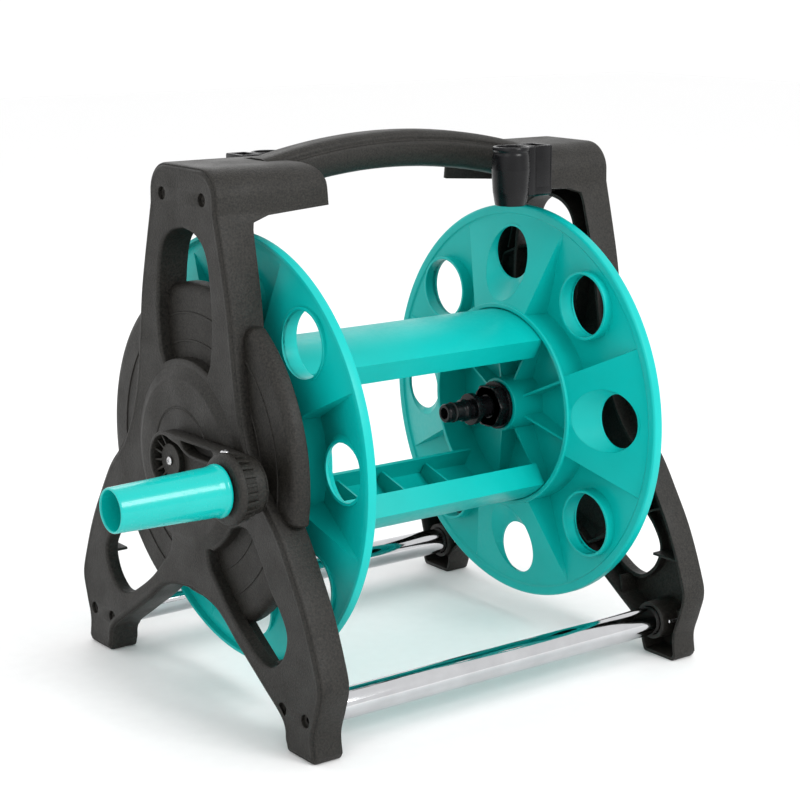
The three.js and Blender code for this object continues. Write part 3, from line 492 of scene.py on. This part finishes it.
def guard_outline(outline):
    """A circle, cut back to stay behind the legs except between two levels."""
    edges = list(zip(outline, outline[1:] + outline[:1]))

    def behind(y, z):
        crossed = False
        for (y0, z0), (y1, z1) in edges:
            if (z0 > z) != (z1 > z) and y < y0 + (z - z0) * (y1 - y0) / (z1 - z0):
                crossed = not crossed
        return crossed

    made = []
    for i in range(240):
        angle = 2 * math.pi * i / 240
        radius = GUARD_RADIUS
        while radius > 60:
            y = radius * math.cos(angle)
            z = AXIS_Z + radius * math.sin(angle)
            if GUARD_LOW <= z <= GUARD_HIGH or behind(y, z):
                break
            radius -= 1
        made.append((y, z))
    return rounded(made, 6, 1)


def guard(shape, outline):
    """The round guard, with a broad soft edge and a step inside it."""
    edge = guard_outline(inset(outline, 4))
    back = -GUARD_OUTER + 2.6
    soft = [(8, -GUARD_OUTER), (5.5, -GUARD_OUTER + 0.4), (3, -GUARD_OUTER + 1.5),
            (1.2, -GUARD_OUTER + 3.4), (0.2, -GUARD_OUTER + 6), (0, -GUARD_INNER - 0.8),
            (0.5, -GUARD_INNER - 0.1), (1.2, -GUARD_INNER), (2.2, -GUARD_INNER),
            (2.6, -GUARD_INNER - 0.8), (2.9, -GUARD_OUTER + 6.5), (8, back)]
    shape.sweep(edge, soft)
    shape.fill(-GUARD_OUTER, inset(edge, 8))
    shape.fill(back, inset(edge, 8))
    for radius in (104, 84):
        shape.tube(-GUARD_OUTER - 0.7, -GUARD_OUTER + 0.5, radius - 0.9, radius + 0.9,
                   z=AXIS_Z, edge=0.6, steps=120)


FOOT_SCREWS = [(side * TUBE_Y + edge * 13.9, TUBE_Z + 1.5) for side in SIDES for edge in SIDES]
HEAD_SCREWS = [(side * 27, 371) for side in SIDES]
LEG_RIBS = (
    ((113.5, 109.2), (139, 119.6)), ((129, 80), (159, 80)), ((92.6, 53), (95.5, 39)),
    ((38, 350), (52, 300)))


def end_frame():
    shape = Shape()
    outline = frame_outline()
    ends = [leg_end(y, z) for y, z in outline]
    short = [x - 0.8 for x in ends]
    nearly = [x - 0.2 for x in ends]
    face = -FRAME_OUTER
    under = face + WALL
    shape.sweep(outline, [
        (6.6, face), (5.8, face - 0.08), (4.8, face - 0.3), (3.7, face - 0.3),
        (2.7, face + 0.1), (2.1, face + 0.75), (1.7, face + 1.35), (1.3, face + 1.45),
        (0.9, face + 1.2), (0.4, face + 1.7), (0.1, face + 2.8), (0, face + 4.2),
        (0, short), (0.25, nearly), (0.8, ends),
        (2.2, ends), (2.75, nearly), (WALL, short), (WALL, under)])
    slots = [top_slot(), lower_slot(1), lower_slot(-1)]
    bores = [arc(y, z, RECESS_RADIUS - 0.3, 0, 2 * math.pi * 31 / 32, 31)
             for y, z in FOOT_SCREWS + HEAD_SCREWS]
    for i, slot in enumerate(slots):
        stop = -FRAME_INNER + 1 if i == 0 else -GUARD_OUTER + 1
        shape.sweep(slot, [
            (-3.0, face), (-1.8, face + 0.12), (-0.8, face + 0.6), (-0.2, face + 1.4),
            (0, face + 2.6), (0, stop - 0.5), (-0.5, stop), (-WALL, stop), (-WALL, under)])
    for bore in bores:
        shape.sweep(bore, [(-0.5, face), (-0.1, face + 0.2), (0, face + 0.6),
                           (0, face + RECESS_DEPTH)])
        shape.fill(face + RECESS_DEPTH, bore)
    grown = [inset(slot, -3.0) for slot in slots] + [inset(bore, -0.5) for bore in bores]
    shape.fill(face, inset(outline, 6.6), grown)
    shape.fill(under, inset(outline, WALL), [inset(slot, -WALL) for slot in slots])

    for side in SIDES:
        for (y0, z0), (y1, z1) in LEG_RIBS:
            run = Vector((y1 - y0, z1 - z0)).normalized()
            corners = [(y0 - run.y, z0 + run.x), (y0 + run.y, z0 - run.x),
                       (y1 + run.y, z1 - run.x), (y1 - run.y, z1 + run.x)]
            shape.slab([(side * y, z) for y, z in corners], under - 0.5, -FRAME_INNER - 3, 0.3)
        shape.lathe(rounded(
            [(under, 0), (under, 15.2), (-156, 14.6), (-155, 14.6), (-155, TUBE_RADIUS + 0.4),
             (-172, TUBE_RADIUS + 0.4), (-172, 0)], 0.5, loop=False),
            64, side * TUBE_Y, TUBE_Z)
    for y, z in HEAD_SCREWS + FOOT_SCREWS:
        shape.tube(under - 0.5, -170, 2, 7.3, y, z, steps=32)
    boss = [(face + 1, 0), (face + 1, 68), (face + 0.1, 67.4), (-BOSS_FACE, 58.5),
            (-BOSS_FACE, 38.2), (-BOSS_FACE + 0.8, 37.6), (-BOSS_FACE + 0.8, 36.4),
            (-BOSS_FACE, 35.8), (-BOSS_FACE, 17.5), (-154, 17.5), (-154, SLEEVE_RADIUS),
            (under, SLEEVE_RADIUS), (under, 0)]
    shape.lathe(rounded(boss, 1.2, loop=False), 128, z=AXIS_Z)
    guard(shape, outline)
    return shape


def screw():
    """A cross-recessed screw along X with its head at x = 0, towards -X."""
    shape = Shape()
    shape.lathe(rounded(
        [(0.25, 0), (0.1, 1.6), (0.25, 2.4), (0.9, SCREW_HEAD_RADIUS), (1.6, SCREW_HEAD_RADIUS),
         (1.6, 1.6), (14, 1.6), (15.5, 0)], 0.3, loop=False), 32)
    return shape


CROSS_TURN = 0.5  # angle of the cross recess


def crossed_screw(name, node, body, place):
    """A screw with a real cross recess."""
    bar = Shape()
    bar.slab([(-1.9, -0.35), (1.9, -0.35), (1.9, 0.35), (-1.9, 0.35)], -1, 1.0, 0.05)
    made = screw().mesh(name)
    for angle in (CROSS_TURN, CROSS_TURN + math.pi / 2):
        cutter = Shape()
        cutter.take(bar, Matrix.Rotation(angle, 4, "X"))
        made = without(made, [cutter])
    return piece(name, made, STEEL, body, [node], place)


def bush():
    """The axle's nylon sleeve, with a flange on its inner end."""
    shape = Shape()
    shape.tube(-184, -153.6, 14.35, 17.1, edge=0.5)
    shape.tube(-153.7, -150.4, 14.35, 21.1, edge=0.6)
    return shape


def build_frames():
    for side, turn in (("left", Matrix.Identity(4)), ("right", HALF_TURN)):
        piece(f"frame_moulding_{side}", end_frame(), BLACK, "frame", [f"end_frame_{side}"],
              ON_FRAME @ turn)
        head_x = -FRAME_OUTER + RECESS_DEPTH - 1.7
        for i, (y, z) in enumerate(FOOT_SCREWS):
            crossed_screw(f"foot_fastener_{side}_{i + 1}", f"foot_screw_{side}_{i + 1}", "frame",
                          ON_FRAME @ turn @ Matrix.Translation((head_x, y, z)))
        for i, (y, z) in enumerate(HEAD_SCREWS):
            crossed_screw(f"handle_fastener_{side}_{i + 1}", f"handle_screw_{side}_{i + 1}",
                          "frame", ON_FRAME @ turn @ Matrix.Translation((head_x, y, z)))
        piece(f"axle_bush_{side}", bush(), NYLON, "frame", [f"bearing_bush_{side}"],
              ON_AXIS @ turn)


def build_tubes():
    for side, name in zip(SIDES, ("front", "rear")):
        tube = Shape()
        tube.tube(-TUBE_HALF, TUBE_HALF, TUBE_RADIUS - TUBE_WALL, TUBE_RADIUS, side * TUBE_Y,
                  TUBE_Z, 0.4, 96)
        piece(f"chrome_tube_{name}", tube, CHROME, "frame", [f"tie_tube_{name}"])


# ---- Carry handle and tool holders ----------------------------------------------------------

ARCH_RADIUS = 481.0
ARCH_TOP = 408.5
BAR_HEIGHT = 28.0
BAR_HALF = 14.5
ARCH_END = 118.0


def build_handle():
    w = BAR_HALF
    half = smooth(
        [(0, 0), (w * 0.62, 2.3), (w * 0.95, 10), (w, 16.5), (w * 0.965, 19.6), (w * 0.90, 20.4),
         (w * 0.87, 21.2), (w * 0.84, 24.6), (w * 0.5, BAR_HEIGHT - 0.3), (0, BAR_HEIGHT)], 54)
    section = both_sides(half)
    shape = Shape()
    reach = math.asin(ARCH_END / ARCH_RADIUS)
    rings = []
    for i in range(61):
        angle = reach * (i / 30 - 1)
        ring = []
        for y, up in section:
            radius = ARCH_RADIUS - BAR_HEIGHT + up
            ring.append((radius * math.sin(angle), y,
                         ARCH_TOP - ARCH_RADIUS + radius * math.cos(angle)))
        rings.append(ring)
    shape.loft(rings)
    for ring in (rings[0], rings[-1]):
        start = len(shape.verts)
        shape.verts += ring
        shape.faces.append(tuple(range(start, start + len(ring))))
    for side in SIDES:
        tang = Shape()
        tang.slab([(-12.5, 367), (12.5, 367), (12.5, 382), (-12.5, 382)], 110, 160, 0.8)
        tang.slab([(-34, 364.5), (34, 364.5), (34, 381), (-34, 381)], 157, 169.6, 0.8)
        shape.take(tang, Matrix.Identity(4) if side > 0 else HALF_TURN)
    piece("handle_moulding", shape, BLACK, "frame", ["carry_handle"])


def upright(profile, x, y, low, steps=72):
    """A shape turned about a vertical axis, from (radius, height) pairs."""
    shape = Shape()
    rings = []
    for radius, height in profile:
        turn = [2 * math.pi * i / steps for i in range(steps)]
        rings.append([(x + radius * math.cos(a), y + radius * math.sin(a), low + height)
                      for a in turn])
    shape.loft(rings)
    return shape


CUP_X = 68.0
CUP_Y = -60.5
HOLDER_LOW = 353.0
HOLDER_TOP = 397.0
HOLDER_END = 101.0
HOLDER_BACK = -46.3
HOLDER_FRONT = CUP_Y - 9
REAR_HOLDER_DROP = 5.5


def lance_cup():
    """The open round cup."""
    profile = [(0, 0), (11.6, 0), (13.4, 10), (14.6, 27), (13.9, 38), (13.2, 40), (14.2, 41.4),
               (13.7, 44), (11.5, 44), (11.5, 3), (0, 3)]
    return upright(rounded(profile, 0.8, loop=False), CUP_X, CUP_Y, HOLDER_LOW)


def add_pocket(shape):
    """The pocket beside the cup: two cheeks, a floor, a front lip and a back."""
    front, back, low, top = HOLDER_FRONT, HOLDER_BACK, HOLDER_LOW, HOLDER_TOP
    cheek = rounded([(back, low + 6), (back, top), (front, top), (front, low + 8),
                     (front + 2, low + 6)], 1.6)
    for x0, x1 in ((CUP_X + 15.6, CUP_X + 18), (HOLDER_END - 2.5, HOLDER_END)):
        shape.slab(cheek, x0, x1, 0.6)
    inside = (CUP_X + 17, HOLDER_END - 1.5)
    floor = [(front, low + 14), (front, low + 8), (front + 2, low + 6), (back, low + 6),
             (back, low + 14)]
    shape.slab(rounded(floor, 1.2), *inside, 0.3)
    lip = [(front, low + 12), (front + 2.4, low + 12), (front + 2.4, top), (front, top)]
    shape.slab(rounded(lip, 0.7), *inside, 0.2)
    rear = [(back - 2.6, low + 10), (back, low + 10), (back, top), (back - 2.6, top)]
    shape.slab(rounded(rear, 0.7), *inside, 0.3)


def add_bridges(shape):
    """The web behind the cup and the block that joins the cup to the pocket."""
    low, top = HOLDER_LOW, HOLDER_TOP
    near, far = CUP_Y + 11.4, HOLDER_BACK - 0.1
    web = [(near, low + 13), (far, low + 13), (far, top - 7), (near, top - 7)]
    shape.slab(rounded(web, 0.6), CUP_X - 5, CUP_X + 16, 0.4)
    block = [(HOLDER_FRONT, low + 7), (CUP_Y + 10, low + 7), (CUP_Y + 10, top - 0.5),
             (HOLDER_FRONT, top - 0.5)]
    shape.slab(rounded(block, 0.9), CUP_X + 10, CUP_X + 16.2, 0.3)


def tool_holder():
    """An open cup beside a pocket with a sloping base."""
    shape = lance_cup()
    add_pocket(shape)
    add_bridges(shape)
    return shape


def build_holders():
    dropped = Matrix.Translation((0, 0, -REAR_HOLDER_DROP)) @ HALF_TURN
    for name, turn in (("front", Matrix.Identity(4)), ("rear", dropped)):
        piece(f"lance_cup_{name}", tool_holder(), GLOSS, "frame", [f"tool_holder_{name}"],
              ON_FRAME @ turn)


# ---- Drum -----------------------------------------------------------------------------------

SECTOR = math.pi / 4


def web_x(radius, angle):
    """Depth of the flange's inner face at a radius and an angle."""
    part = (radius - RING_RADIUS) / (WEB_OUTER_RADIUS - RING_RADIUS)
    off = abs((angle + SECTOR / 2) % (2 * SECTOR) - SECTOR / 2)
    sunk = 1.0 if off > SECTOR / 2 else 0.0
    inner = RAISED_X + (SUNK_X - RAISED_X) * sunk
    return inner + (WEB_OUTER_X - inner) * part


def web_angles():
    """Angles round the flange, close together on both sides of each step."""
    made = []
    for sector in range(8):
        start = (sector - 0.5) * SECTOR
        near = (0.0035, 0.009, 0.018)
        made += [start + d for d in near]
        made += [start + SECTOR * (0.05 + 0.9 * i / 22) for i in range(23)]
        made += [start + SECTOR - d for d in reversed(near)]
    return made


def flange_web():
    """The eight raised and sunk sectors with the rim round them, as one closed mesh."""
    angles = web_angles()
    radii = [RING_RADIUS - 0.5 + (WEB_OUTER_RADIUS - RING_RADIUS + 0.5) * i / 12
             for i in range(13)]
    shape = Shape()
    rings = []

    def ring(radius, depth):
        return [(depth(a), -radius * math.sin(a), radius * math.cos(a)) for a in angles]

    for radius in radii:
        rings.append(ring(radius, lambda a, r=radius: web_x(r, a)))
    rim = rounded(
        [(WEB_OUTER_X, 151.2), (129.6, 152.2), (128.6, 153), (128.4, 158.2), (129.4, RIM_RADIUS),
         (136.2, RIM_RADIUS), (136.2, 157.2), (131.4, 156.8), (132.6, 151.4)], 0.5, 3, loop=False)
    for x, radius in rim:
        rings.append(ring(radius, lambda a, x=x: x))
    for radius in reversed(radii):
        rings.append(ring(radius, lambda a, r=radius: web_x(r, a) + SKIN))
    shape.loft(rings, loop=True)
    return shape


def sink_point(depth, radius, turn):
    """A point of a ring round the sink at the top hole, at a distance before the sink's floor.

    Each ring is shifted towards the axis so that the cone's far side stays parallel to the axis.
    """
    middle = HOLE_PITCH - depth * SINK_SLOPE
    return (SINK_FLOOR - depth, -radius * math.sin(turn), middle + radius * math.cos(turn))


def sink_cone(sections):
    """The leaning cone at the top hole, from (distance before the floor, radius) rings."""
    shape = Shape()
    shape.loft([[sink_point(depth, radius, a) for a in SINK_TURNS] for depth, radius in sections])
    return shape


def turned_shapes(shape, indexes):
    made = []
    for index in indexes:
        copy = Shape()
        copy.take(shape, Matrix.Rotation(index * SECTOR, 4, "X"))
        made.append(copy)
    return made


RAISED = (0, 2, 4, 6)
SUNK = (1, 3, 5, 7)


def mouth_point(wall, turn):
    """Where the sink's wall meets the raised sector's sloping face, by halving the depth."""
    slope = (WEB_OUTER_X - RAISED_X) / (WEB_OUTER_RADIUS - RING_RADIUS)
    low = 0.0
    high = SINK_DEPTH
    for _ in range(24):
        depth = (low + high) / 2
        radius = HOLE_RADIUS + wall + depth * SINK_SLOPE
        x, y, z = sink_point(depth, radius, turn)
        face = RAISED_X + (math.hypot(y, z) - RING_RADIUS) * slope + 0.06 + 0.5 * wall
        if x > face:
            low = depth
        else:
            high = depth
    return (x, y, z)


def sink_walls():
    """The sinks' conical walls, each trimmed along the raised sector's sloping face."""
    mouths = []
    floors = []
    for wall in (0, SINK_WALL):
        mouths.append([mouth_point(wall, a) for a in SINK_TURNS])
        floors.append([(SINK_FLOOR + wall, -(HOLE_RADIUS + wall) * math.sin(a),
                        HOLE_PITCH + (HOLE_RADIUS + wall) * math.cos(a)) for a in SINK_TURNS])
    shape = Shape()
    for mouth, floor in zip(mouths, floors):
        shape.loft([mouth, floor])
    back = [(SINK_FLOOR + SINK_WALL, y, z) for _, y, z in floors[0]]
    shape.loft([floors[0], back, floors[1]])
    shape.loft(mouths)
    made = Shape()
    for part in turned_shapes(shape, RAISED):
        made.take(part)
    return made


def pierced_web():
    """The flange's web with the sinks, their holes and the collars' holes cut out."""
    clear = HOLE_RADIUS + 0.3
    mouth = clear + SINK_DEPTH * SINK_SLOPE
    sink = sink_cone([(SINK_DEPTH, 0.01), (SINK_DEPTH, mouth), (0, clear), (0, 0.01)])
    through = Shape()
    through.lathe([(SINK_FLOOR - 0.5, 0), (SINK_FLOOR - 0.5, clear), (FLANGE_BACK, clear),
                   (FLANGE_BACK, 0)], 96, 0, HOLE_PITCH)
    collar_space = Shape()
    collar_space.lathe([(100, 0), (100, COLLAR_RADIUS), (FLANGE_BACK, COLLAR_RADIUS),
                        (FLANGE_BACK, 0)], 72, 0, HOLE_PITCH)
    mesh = without(flange_web().mesh("web"), turned_shapes(sink, RAISED))
    return without(mesh, turned_shapes(through, RAISED) + turned_shapes(collar_space, SUNK))


def add_collars(shape):
    collar = Shape()
    collar.tube(COLLAR_FRONT, COLLAR_BACK, COLLAR_RADIUS, COLLAR_RADIUS + COLLAR_WALL, 0,
                HOLE_PITCH, 0.7, 72)
    for made in turned_shapes(collar, SUNK):
        shape.take(made)


def add_hub(shape):
    """The hub's cup: its wall, floor, bearing sleeve and eight gussets."""
    wall = [(RAISED_X - 1.4, RING_RADIUS - 1.6), (RAISED_X - 1.4, RING_RADIUS + 1.9),
            (RAISED_X + 1.5, RING_RADIUS + 2.2), (RAISED_X + 2.4, RING_RADIUS + 0.8),
            (HUB_FLOOR + SKIN, RING_RADIUS + 0.6), (HUB_FLOOR + SKIN, RING_RADIUS - 1.6)]
    shape.lathe(rounded(wall, 0.7), 160, loop=True)
    shape.tube(HUB_FLOOR, HUB_FLOOR + SKIN, BORE_RADIUS, RING_RADIUS, edge=0.2, steps=96)
    shape.tube(109, 146, BORE_RADIUS, 21.5, edge=0.8)
    gusset = [(119, 20), (HUB_FLOOR + 1, 20), (HUB_FLOOR + 1, 79.2), (132, 79.2)]
    for index in range(8):
        shape.plate(gusset, 2, (index + 0.5) * SECTOR)


def add_lugs(shape):
    """The two pairs of lugs that hold the staves."""
    lug = [(104, 67.6), (HUB_FLOOR + 1, 65.6), (HUB_FLOOR + 1, 73.6), (104, 73.6)]
    for middle in (0, math.pi):
        for offset in (-0.26, 0.26):
            shape.plate(lug, 10, middle + offset)


def flange():
    mesh = pierced_web()
    rest = Shape()
    add_collars(rest)
    rest.take(sink_walls())
    add_hub(rest)
    add_lugs(rest)
    return joined(mesh, rest)


def stave():
    radius, thickness = 77.6, 2.6
    corner = math.radians(42)
    side_y, side_z = 42.2, 42.4
    outer = arc(0, 0, radius, math.pi / 2 - corner, math.pi / 2 + corner, 48)
    inner = arc(0, 0, radius - thickness, math.pi / 2 + corner - 0.028,
                math.pi / 2 - corner + 0.028, 48)
    shell = ([(side_y, side_z)] + outer
             + [(-side_y, side_z), (-side_y + thickness, side_z + 1.2)] + inner
             + [(side_y - thickness, side_z + 1.2)])
    shape = Shape()
    shape.slab(shell, -112.6, 112.6, 0.5)
    rib = ([(side_y - 1, side_z + 6)]
           + arc(0, 0, radius - thickness + 0.5, math.pi / 2 - corner + 0.03,
                 math.pi / 2 + corner - 0.03, 24)
           + [(-side_y + 1, side_z + 6), (0, side_z + 20)])
    for x in (-66, -22, 22, 66):
        shape.slab(rib, x - 1, x + 1, 0.2)
    return shape


def build_drum():
    for side, turn in (("right", Matrix.Identity(4)), ("left", HALF_TURN)):
        piece(f"drum_flange_{side}", flange(), TEAL, "drum", [f"flange_{side}"], ON_DRUM @ turn,
              sharp=28)
    piece("drum_stave_top", stave(), TEAL, "drum", ["stave_top"], ON_DRUM)
    piece("drum_stave_bottom", stave(), TEAL, "drum", ["stave_bottom"],
          ON_DRUM @ Matrix.Rotation(math.pi, 4, "X"))


# ---- Axles and water path -------------------------------------------------------------------


def hexagon(radius):
    return [(radius * math.cos(a * math.pi / 3), radius * math.sin(a * math.pi / 3))
            for a in range(6)]


def seal(shape, middle_x, inner, outer):
    centre = (inner + outer) / 2
    radius = (outer - inner) / 2
    ring = [(middle_x + radius * math.cos(a * math.pi / 8),
             centre + radius * math.sin(a * math.pi / 8)) for a in range(16)]
    shape.lathe(ring, 72, loop=True)


def build_axles():
    nipple = Shape()
    nipple.lathe(rounded(
        [(54, 4.5), (54, 6.8), (55.5, 7.6), (60, 7.6), (60, 5.9), (63, 5.9), (63, 7.6), (70, 7.6),
         (71.5, 8.9), (75, 8.9), (76, 8), (79, 8), (79, 12.8), (83.5, 12.8), (84.5, 8.7),
         (97, 8.7), (97, 6), (111, 6), (111, 4.5)], 0.4), 96, loop=True)
    piece("hose_nipple", nipple, GLOSS, "drum", ["outlet_nipple"], ON_DRUM)

    nut = Shape()
    nut.slab(rounded(hexagon(18.5), 1.6), 97.4, 108.4, 0.8)
    nut.tube(105.5, 108.6, 9, 19.4, edge=0.6)
    nut.tube(97.4, 99, 9, 16.6, edge=0.4)
    piece("hose_nut", nut, GLOSS, "drum", ["outlet_nut"], ON_DRUM)

    for name, node, x, inner, outer in (
            ("hose_seal", "outlet_o_ring", 61.5, 6.2, 8.2),
            ("inner_seal", "axle_o_ring_inner", 191.3, 7.3, 8.75),
            ("outer_seal", "axle_o_ring_outer", 196.9, 7.3, 8.75)):
        ring = Shape()
        seal(ring, x, inner, outer)
        piece(name, ring, RUBBER, "drum", [node], ON_DRUM)

    water = Shape()
    water.slab(rounded(hexagon(12.4), 0.6), 109.5, 147, 0.4)
    water.rod(98.4, 111, 10.9)
    water.rod(146.4, 149.6, 16.4)
    water.rod(149, 184, 14)
    water.lathe(rounded(
        [(183, 0), (183, 8.7), (190, 8.7), (190, 7), (192.6, 7), (192.6, 8.7), (195.6, 8.7),
         (195.6, 7), (198.2, 7), (198.2, 8.7), (201, 8.7), (201, 4.5), (196, 4.5), (196, 0)],
        0.3, loop=False), 72)
    piece("hollow_axle", water, GLOSS, "drum", ["water_axle"], ON_DRUM)

    solid = Shape()
    solid.slab(rounded(hexagon(12.4), 0.6), -147, -108.5, 0.4)
    solid.tube(-108.65, -104, 9, 18, edge=0.8)
    solid.rod(-108.6, -107.6, 9.4)
    solid.rod(-149.6, -146.4, 16.4)
    solid.rod(-186, -149, 14)
    solid.slab(rounded([(-8, -8), (8, -8), (8, 8), (-8, 8)], 0.8), -191.5, -185.5, 0.5)
    piece("drive_axle", solid, GLOSS, "drum", ["crank_axle"], ON_DRUM)

    inlet = Shape()
    inlet.lathe(rounded(
        [(185.4, 9.1), (185.4, 25), (189.3, 25), (189.3, 14.5), (204, 13.5), (207, 11), (207, 8.7),
         (214, 8.7), (215.5, 9.2), (218.5, 9.2), (219.5, 7.6), (224, 7.6), (224, 5.9), (227, 5.9),
         (227, 7.6), (230.5, 7.6), (231.9, 6.8), (231.9, 4.5), (202, 4.5), (202, 9.1)], 0.5),
        96, loop=True)
    piece("supply_inlet", inlet, GLOSS, "frame", ["inlet_connector"], ON_AXIS)
    for i, side in enumerate(SIDES):
        crossed_screw(f"inlet_fastener_{i + 1}", f"inlet_screw_{i + 1}", "frame",
                      ON_AXIS @ HALF_TURN @ Matrix.Translation((-191.4, side * 20.7, 0)))


# ---- Crank and grip -------------------------------------------------------------------------


def strap(hub, pad):
    lean = math.asin((pad - hub) / CRANK_RADIUS)
    quarter = math.pi / 2
    return (arc(0, 0, hub, -quarter - lean, quarter + lean, 40)
            + arc(-CRANK_RADIUS, 0, pad, quarter + lean, 3 * quarter - lean, 40))


def crank_pockets():
    circle = arc(0, 0, 19.2, 0, math.pi / 2 + 0.4, 18)
    wall = smooth([(-19, 15.4), (-31, 9.8), (-45, 8.4), (-62, 8.4)], 20)
    upper = circle + wall
    main = upper + [(y, -z) for y, z in reversed(upper)]
    main = [p for i, p in enumerate(main) if math.dist(p, main[i - 1]) > 0.05]
    side = rounded([(-23, 19.2), (-28, 13.6), (-35, 11.2), (-46, 10.6), (-66, 10.6),
                    (-66, 18.8)], 1.5)
    return [main, side, [(y, -z) for y, z in side]]


CLAMP_SCREW_HEAD = (-204, -89.5, 24.9)


def build_crank():
    arm = Shape()
    outline = strap(22, 20)
    arm.slab(outline, -200, -188, 1.0, crank_pockets())
    arm.slab(outline, -190.6, -188, 0.6)
    arm.tube(-195, -188, 2.0, 12.4, edge=0.6)
    for i in range(9):
        arm.plate([(-195, 11.5), (-189, 11.5), (-189, 20), (-197, 20)], 1.4,
                  math.pi + (i - 1.5) * 0.42)
    collar = [(-213, 5.4), (-213, 21.8), (-211.8, 23.9), (-209.5, 24.8), (-207, 24.8),
              (-206.6, 22.4), (-197.5, 21.6), (-197.5, 19.5), (-188, 19.5), (-188, 5.4)]
    arm.lathe(rounded(collar, 0.8), 96, -CRANK_RADIUS, loop=True)
    for i in range(24):
        arm.plate([(-208, 18), (-197.5, 18), (-197.5, 23.2), (-206.5, 24.4), (-208, 24.4)], 1.7,
                  2 * math.pi * i / 24, -CRANK_RADIUS)
    piece("crank_moulding", arm, BLACK, "drum", ["crank_arm"], ON_CRANK)
    crossed_screw("crank_fastener", "crank_screw", "drum",
                  ON_CRANK @ Matrix.Translation((-197.05, 0, 0)))
    upward = Matrix.Rotation(math.pi / 2, 4, "Y")
    crossed_screw("clamp_fastener", "spindle_clamp_screw", "drum",
                  ON_CRANK @ Matrix.Translation(CLAMP_SCREW_HEAD) @ upward)

    pin = ON_CRANK @ Matrix.Translation((0, -CRANK_RADIUS, 0))
    spindle = Shape()
    spindle.rod(-257.5, -192, 5, edge=0.6)
    piece("grip_pin", spindle, STEEL, "drum", ["grip_spindle"], pin)
    washer = Shape()
    washer.tube(-259.4, -257.85, 2.2, 8.6, edge=0.4)
    piece("pin_washer", washer, STEEL, "drum", ["grip_washer"], pin)
    crossed_screw("pin_fastener", "grip_screw", "drum", pin @ Matrix.Translation((-262, 0, 0)))

    grip = Shape()
    grip.lathe(rounded(
        [(-214.4, 5.35), (-214.4, 17.8), (-215.4, 18.4), (-217.4, 18.5), (-219.6, 17.7),
         (-223, 17.3), (-296, 15.25), (-297, 14.7), (-297, 13.9), (-296, 13.35), (-223, 15.3),
         (-217.4, 15.3), (-217.4, 7.6), (-256.9, 7.6), (-256.9, 5.35)], 0.6), 128, loop=True)
    piece("grip_sleeve", grip, GRIP, "grip", ["crank_grip"], pin)


# ---- Stage ----------------------------------------------------------------------------------


STAGE_MIDDLE = (0.04, 0, 0.2)  # metres, as everything on the stage
FLOOR_HALF = 6.0
LIGHTS = (  # name, place, size, watts
    ("key", (0.5, -2.0, 1.5), (0.9, 0.9), 30),
    ("fill", (-1.8, -0.9, 1.3), (1.2, 1.2), 6),
    ("back", (0.4, 1.7, 1.6), (1.6, 0.8), 8),
)
WORLD_STRENGTH = 1.1
CAMERA_EYE = (-0.8409, -1.1743, 0.5316)
CAMERA_AIM = (0.04276, 0, 0.1999)
CAMERA_LENS = 87.54
CAMERA_ROLL = math.radians(0.12)


def area_light(name, place, size, power):
    light = bpy.data.lights.new(name, "AREA")
    light.shape = "RECTANGLE"
    light.size, light.size_y = size
    light.energy = power
    obj = bpy.data.objects.new(name, light)
    obj.location = place
    way = Vector(STAGE_MIDDLE) - Vector(place)
    obj.rotation_euler = way.to_track_quat("-Z", "Y").to_euler()
    bpy.context.scene.collection.objects.link(obj)


def build_floor():
    mesh = bpy.data.meshes.new("floor")
    half = FLOOR_HALF
    mesh.from_pydata([(-half, -half, 0), (half, -half, 0), (half, half, 0), (-half, half, 0)],
                     [], [(0, 1, 2, 3)])
    floor = bpy.data.objects.new("floor", mesh)
    bpy.context.scene.collection.objects.link(floor)
    mesh.materials.append(plain("pale_floor", (0.88, 0.88, 0.88), (0.9, 0.9, 0.9), 0.6, 0.7))


def build_world():
    world = bpy.data.worlds.new("studio")
    world.use_nodes = True
    background = world.node_tree.nodes["Background"]
    background.inputs["Color"].default_value = (1, 1, 1, 1)
    background.inputs["Strength"].default_value = WORLD_STRENGTH
    bpy.context.scene.world = world


def build_camera():
    camera = bpy.data.cameras.new("camera")
    camera.sensor_width = 36
    camera.lens = CAMERA_LENS
    obj = bpy.data.objects.new("camera", camera)
    obj.location = CAMERA_EYE
    way = Vector(CAMERA_AIM) - Vector(CAMERA_EYE)
    turn = way.to_track_quat("-Z", "Y").to_matrix().to_4x4()
    obj.rotation_euler = (turn @ Matrix.Rotation(CAMERA_ROLL, 4, "Z")).to_euler()
    bpy.context.scene.collection.objects.link(obj)
    bpy.context.scene.camera = obj


def build_stage():
    build_floor()
    build_world()
    for name, place, size, power in LIGHTS:
        area_light(name, place, size, power)
    bpy.context.scene.view_settings.view_transform = "Standard"
    build_camera()


build_frames()
build_tubes()
build_handle()
build_holders()
build_drum()
build_axles()
build_crank()
build_stage()
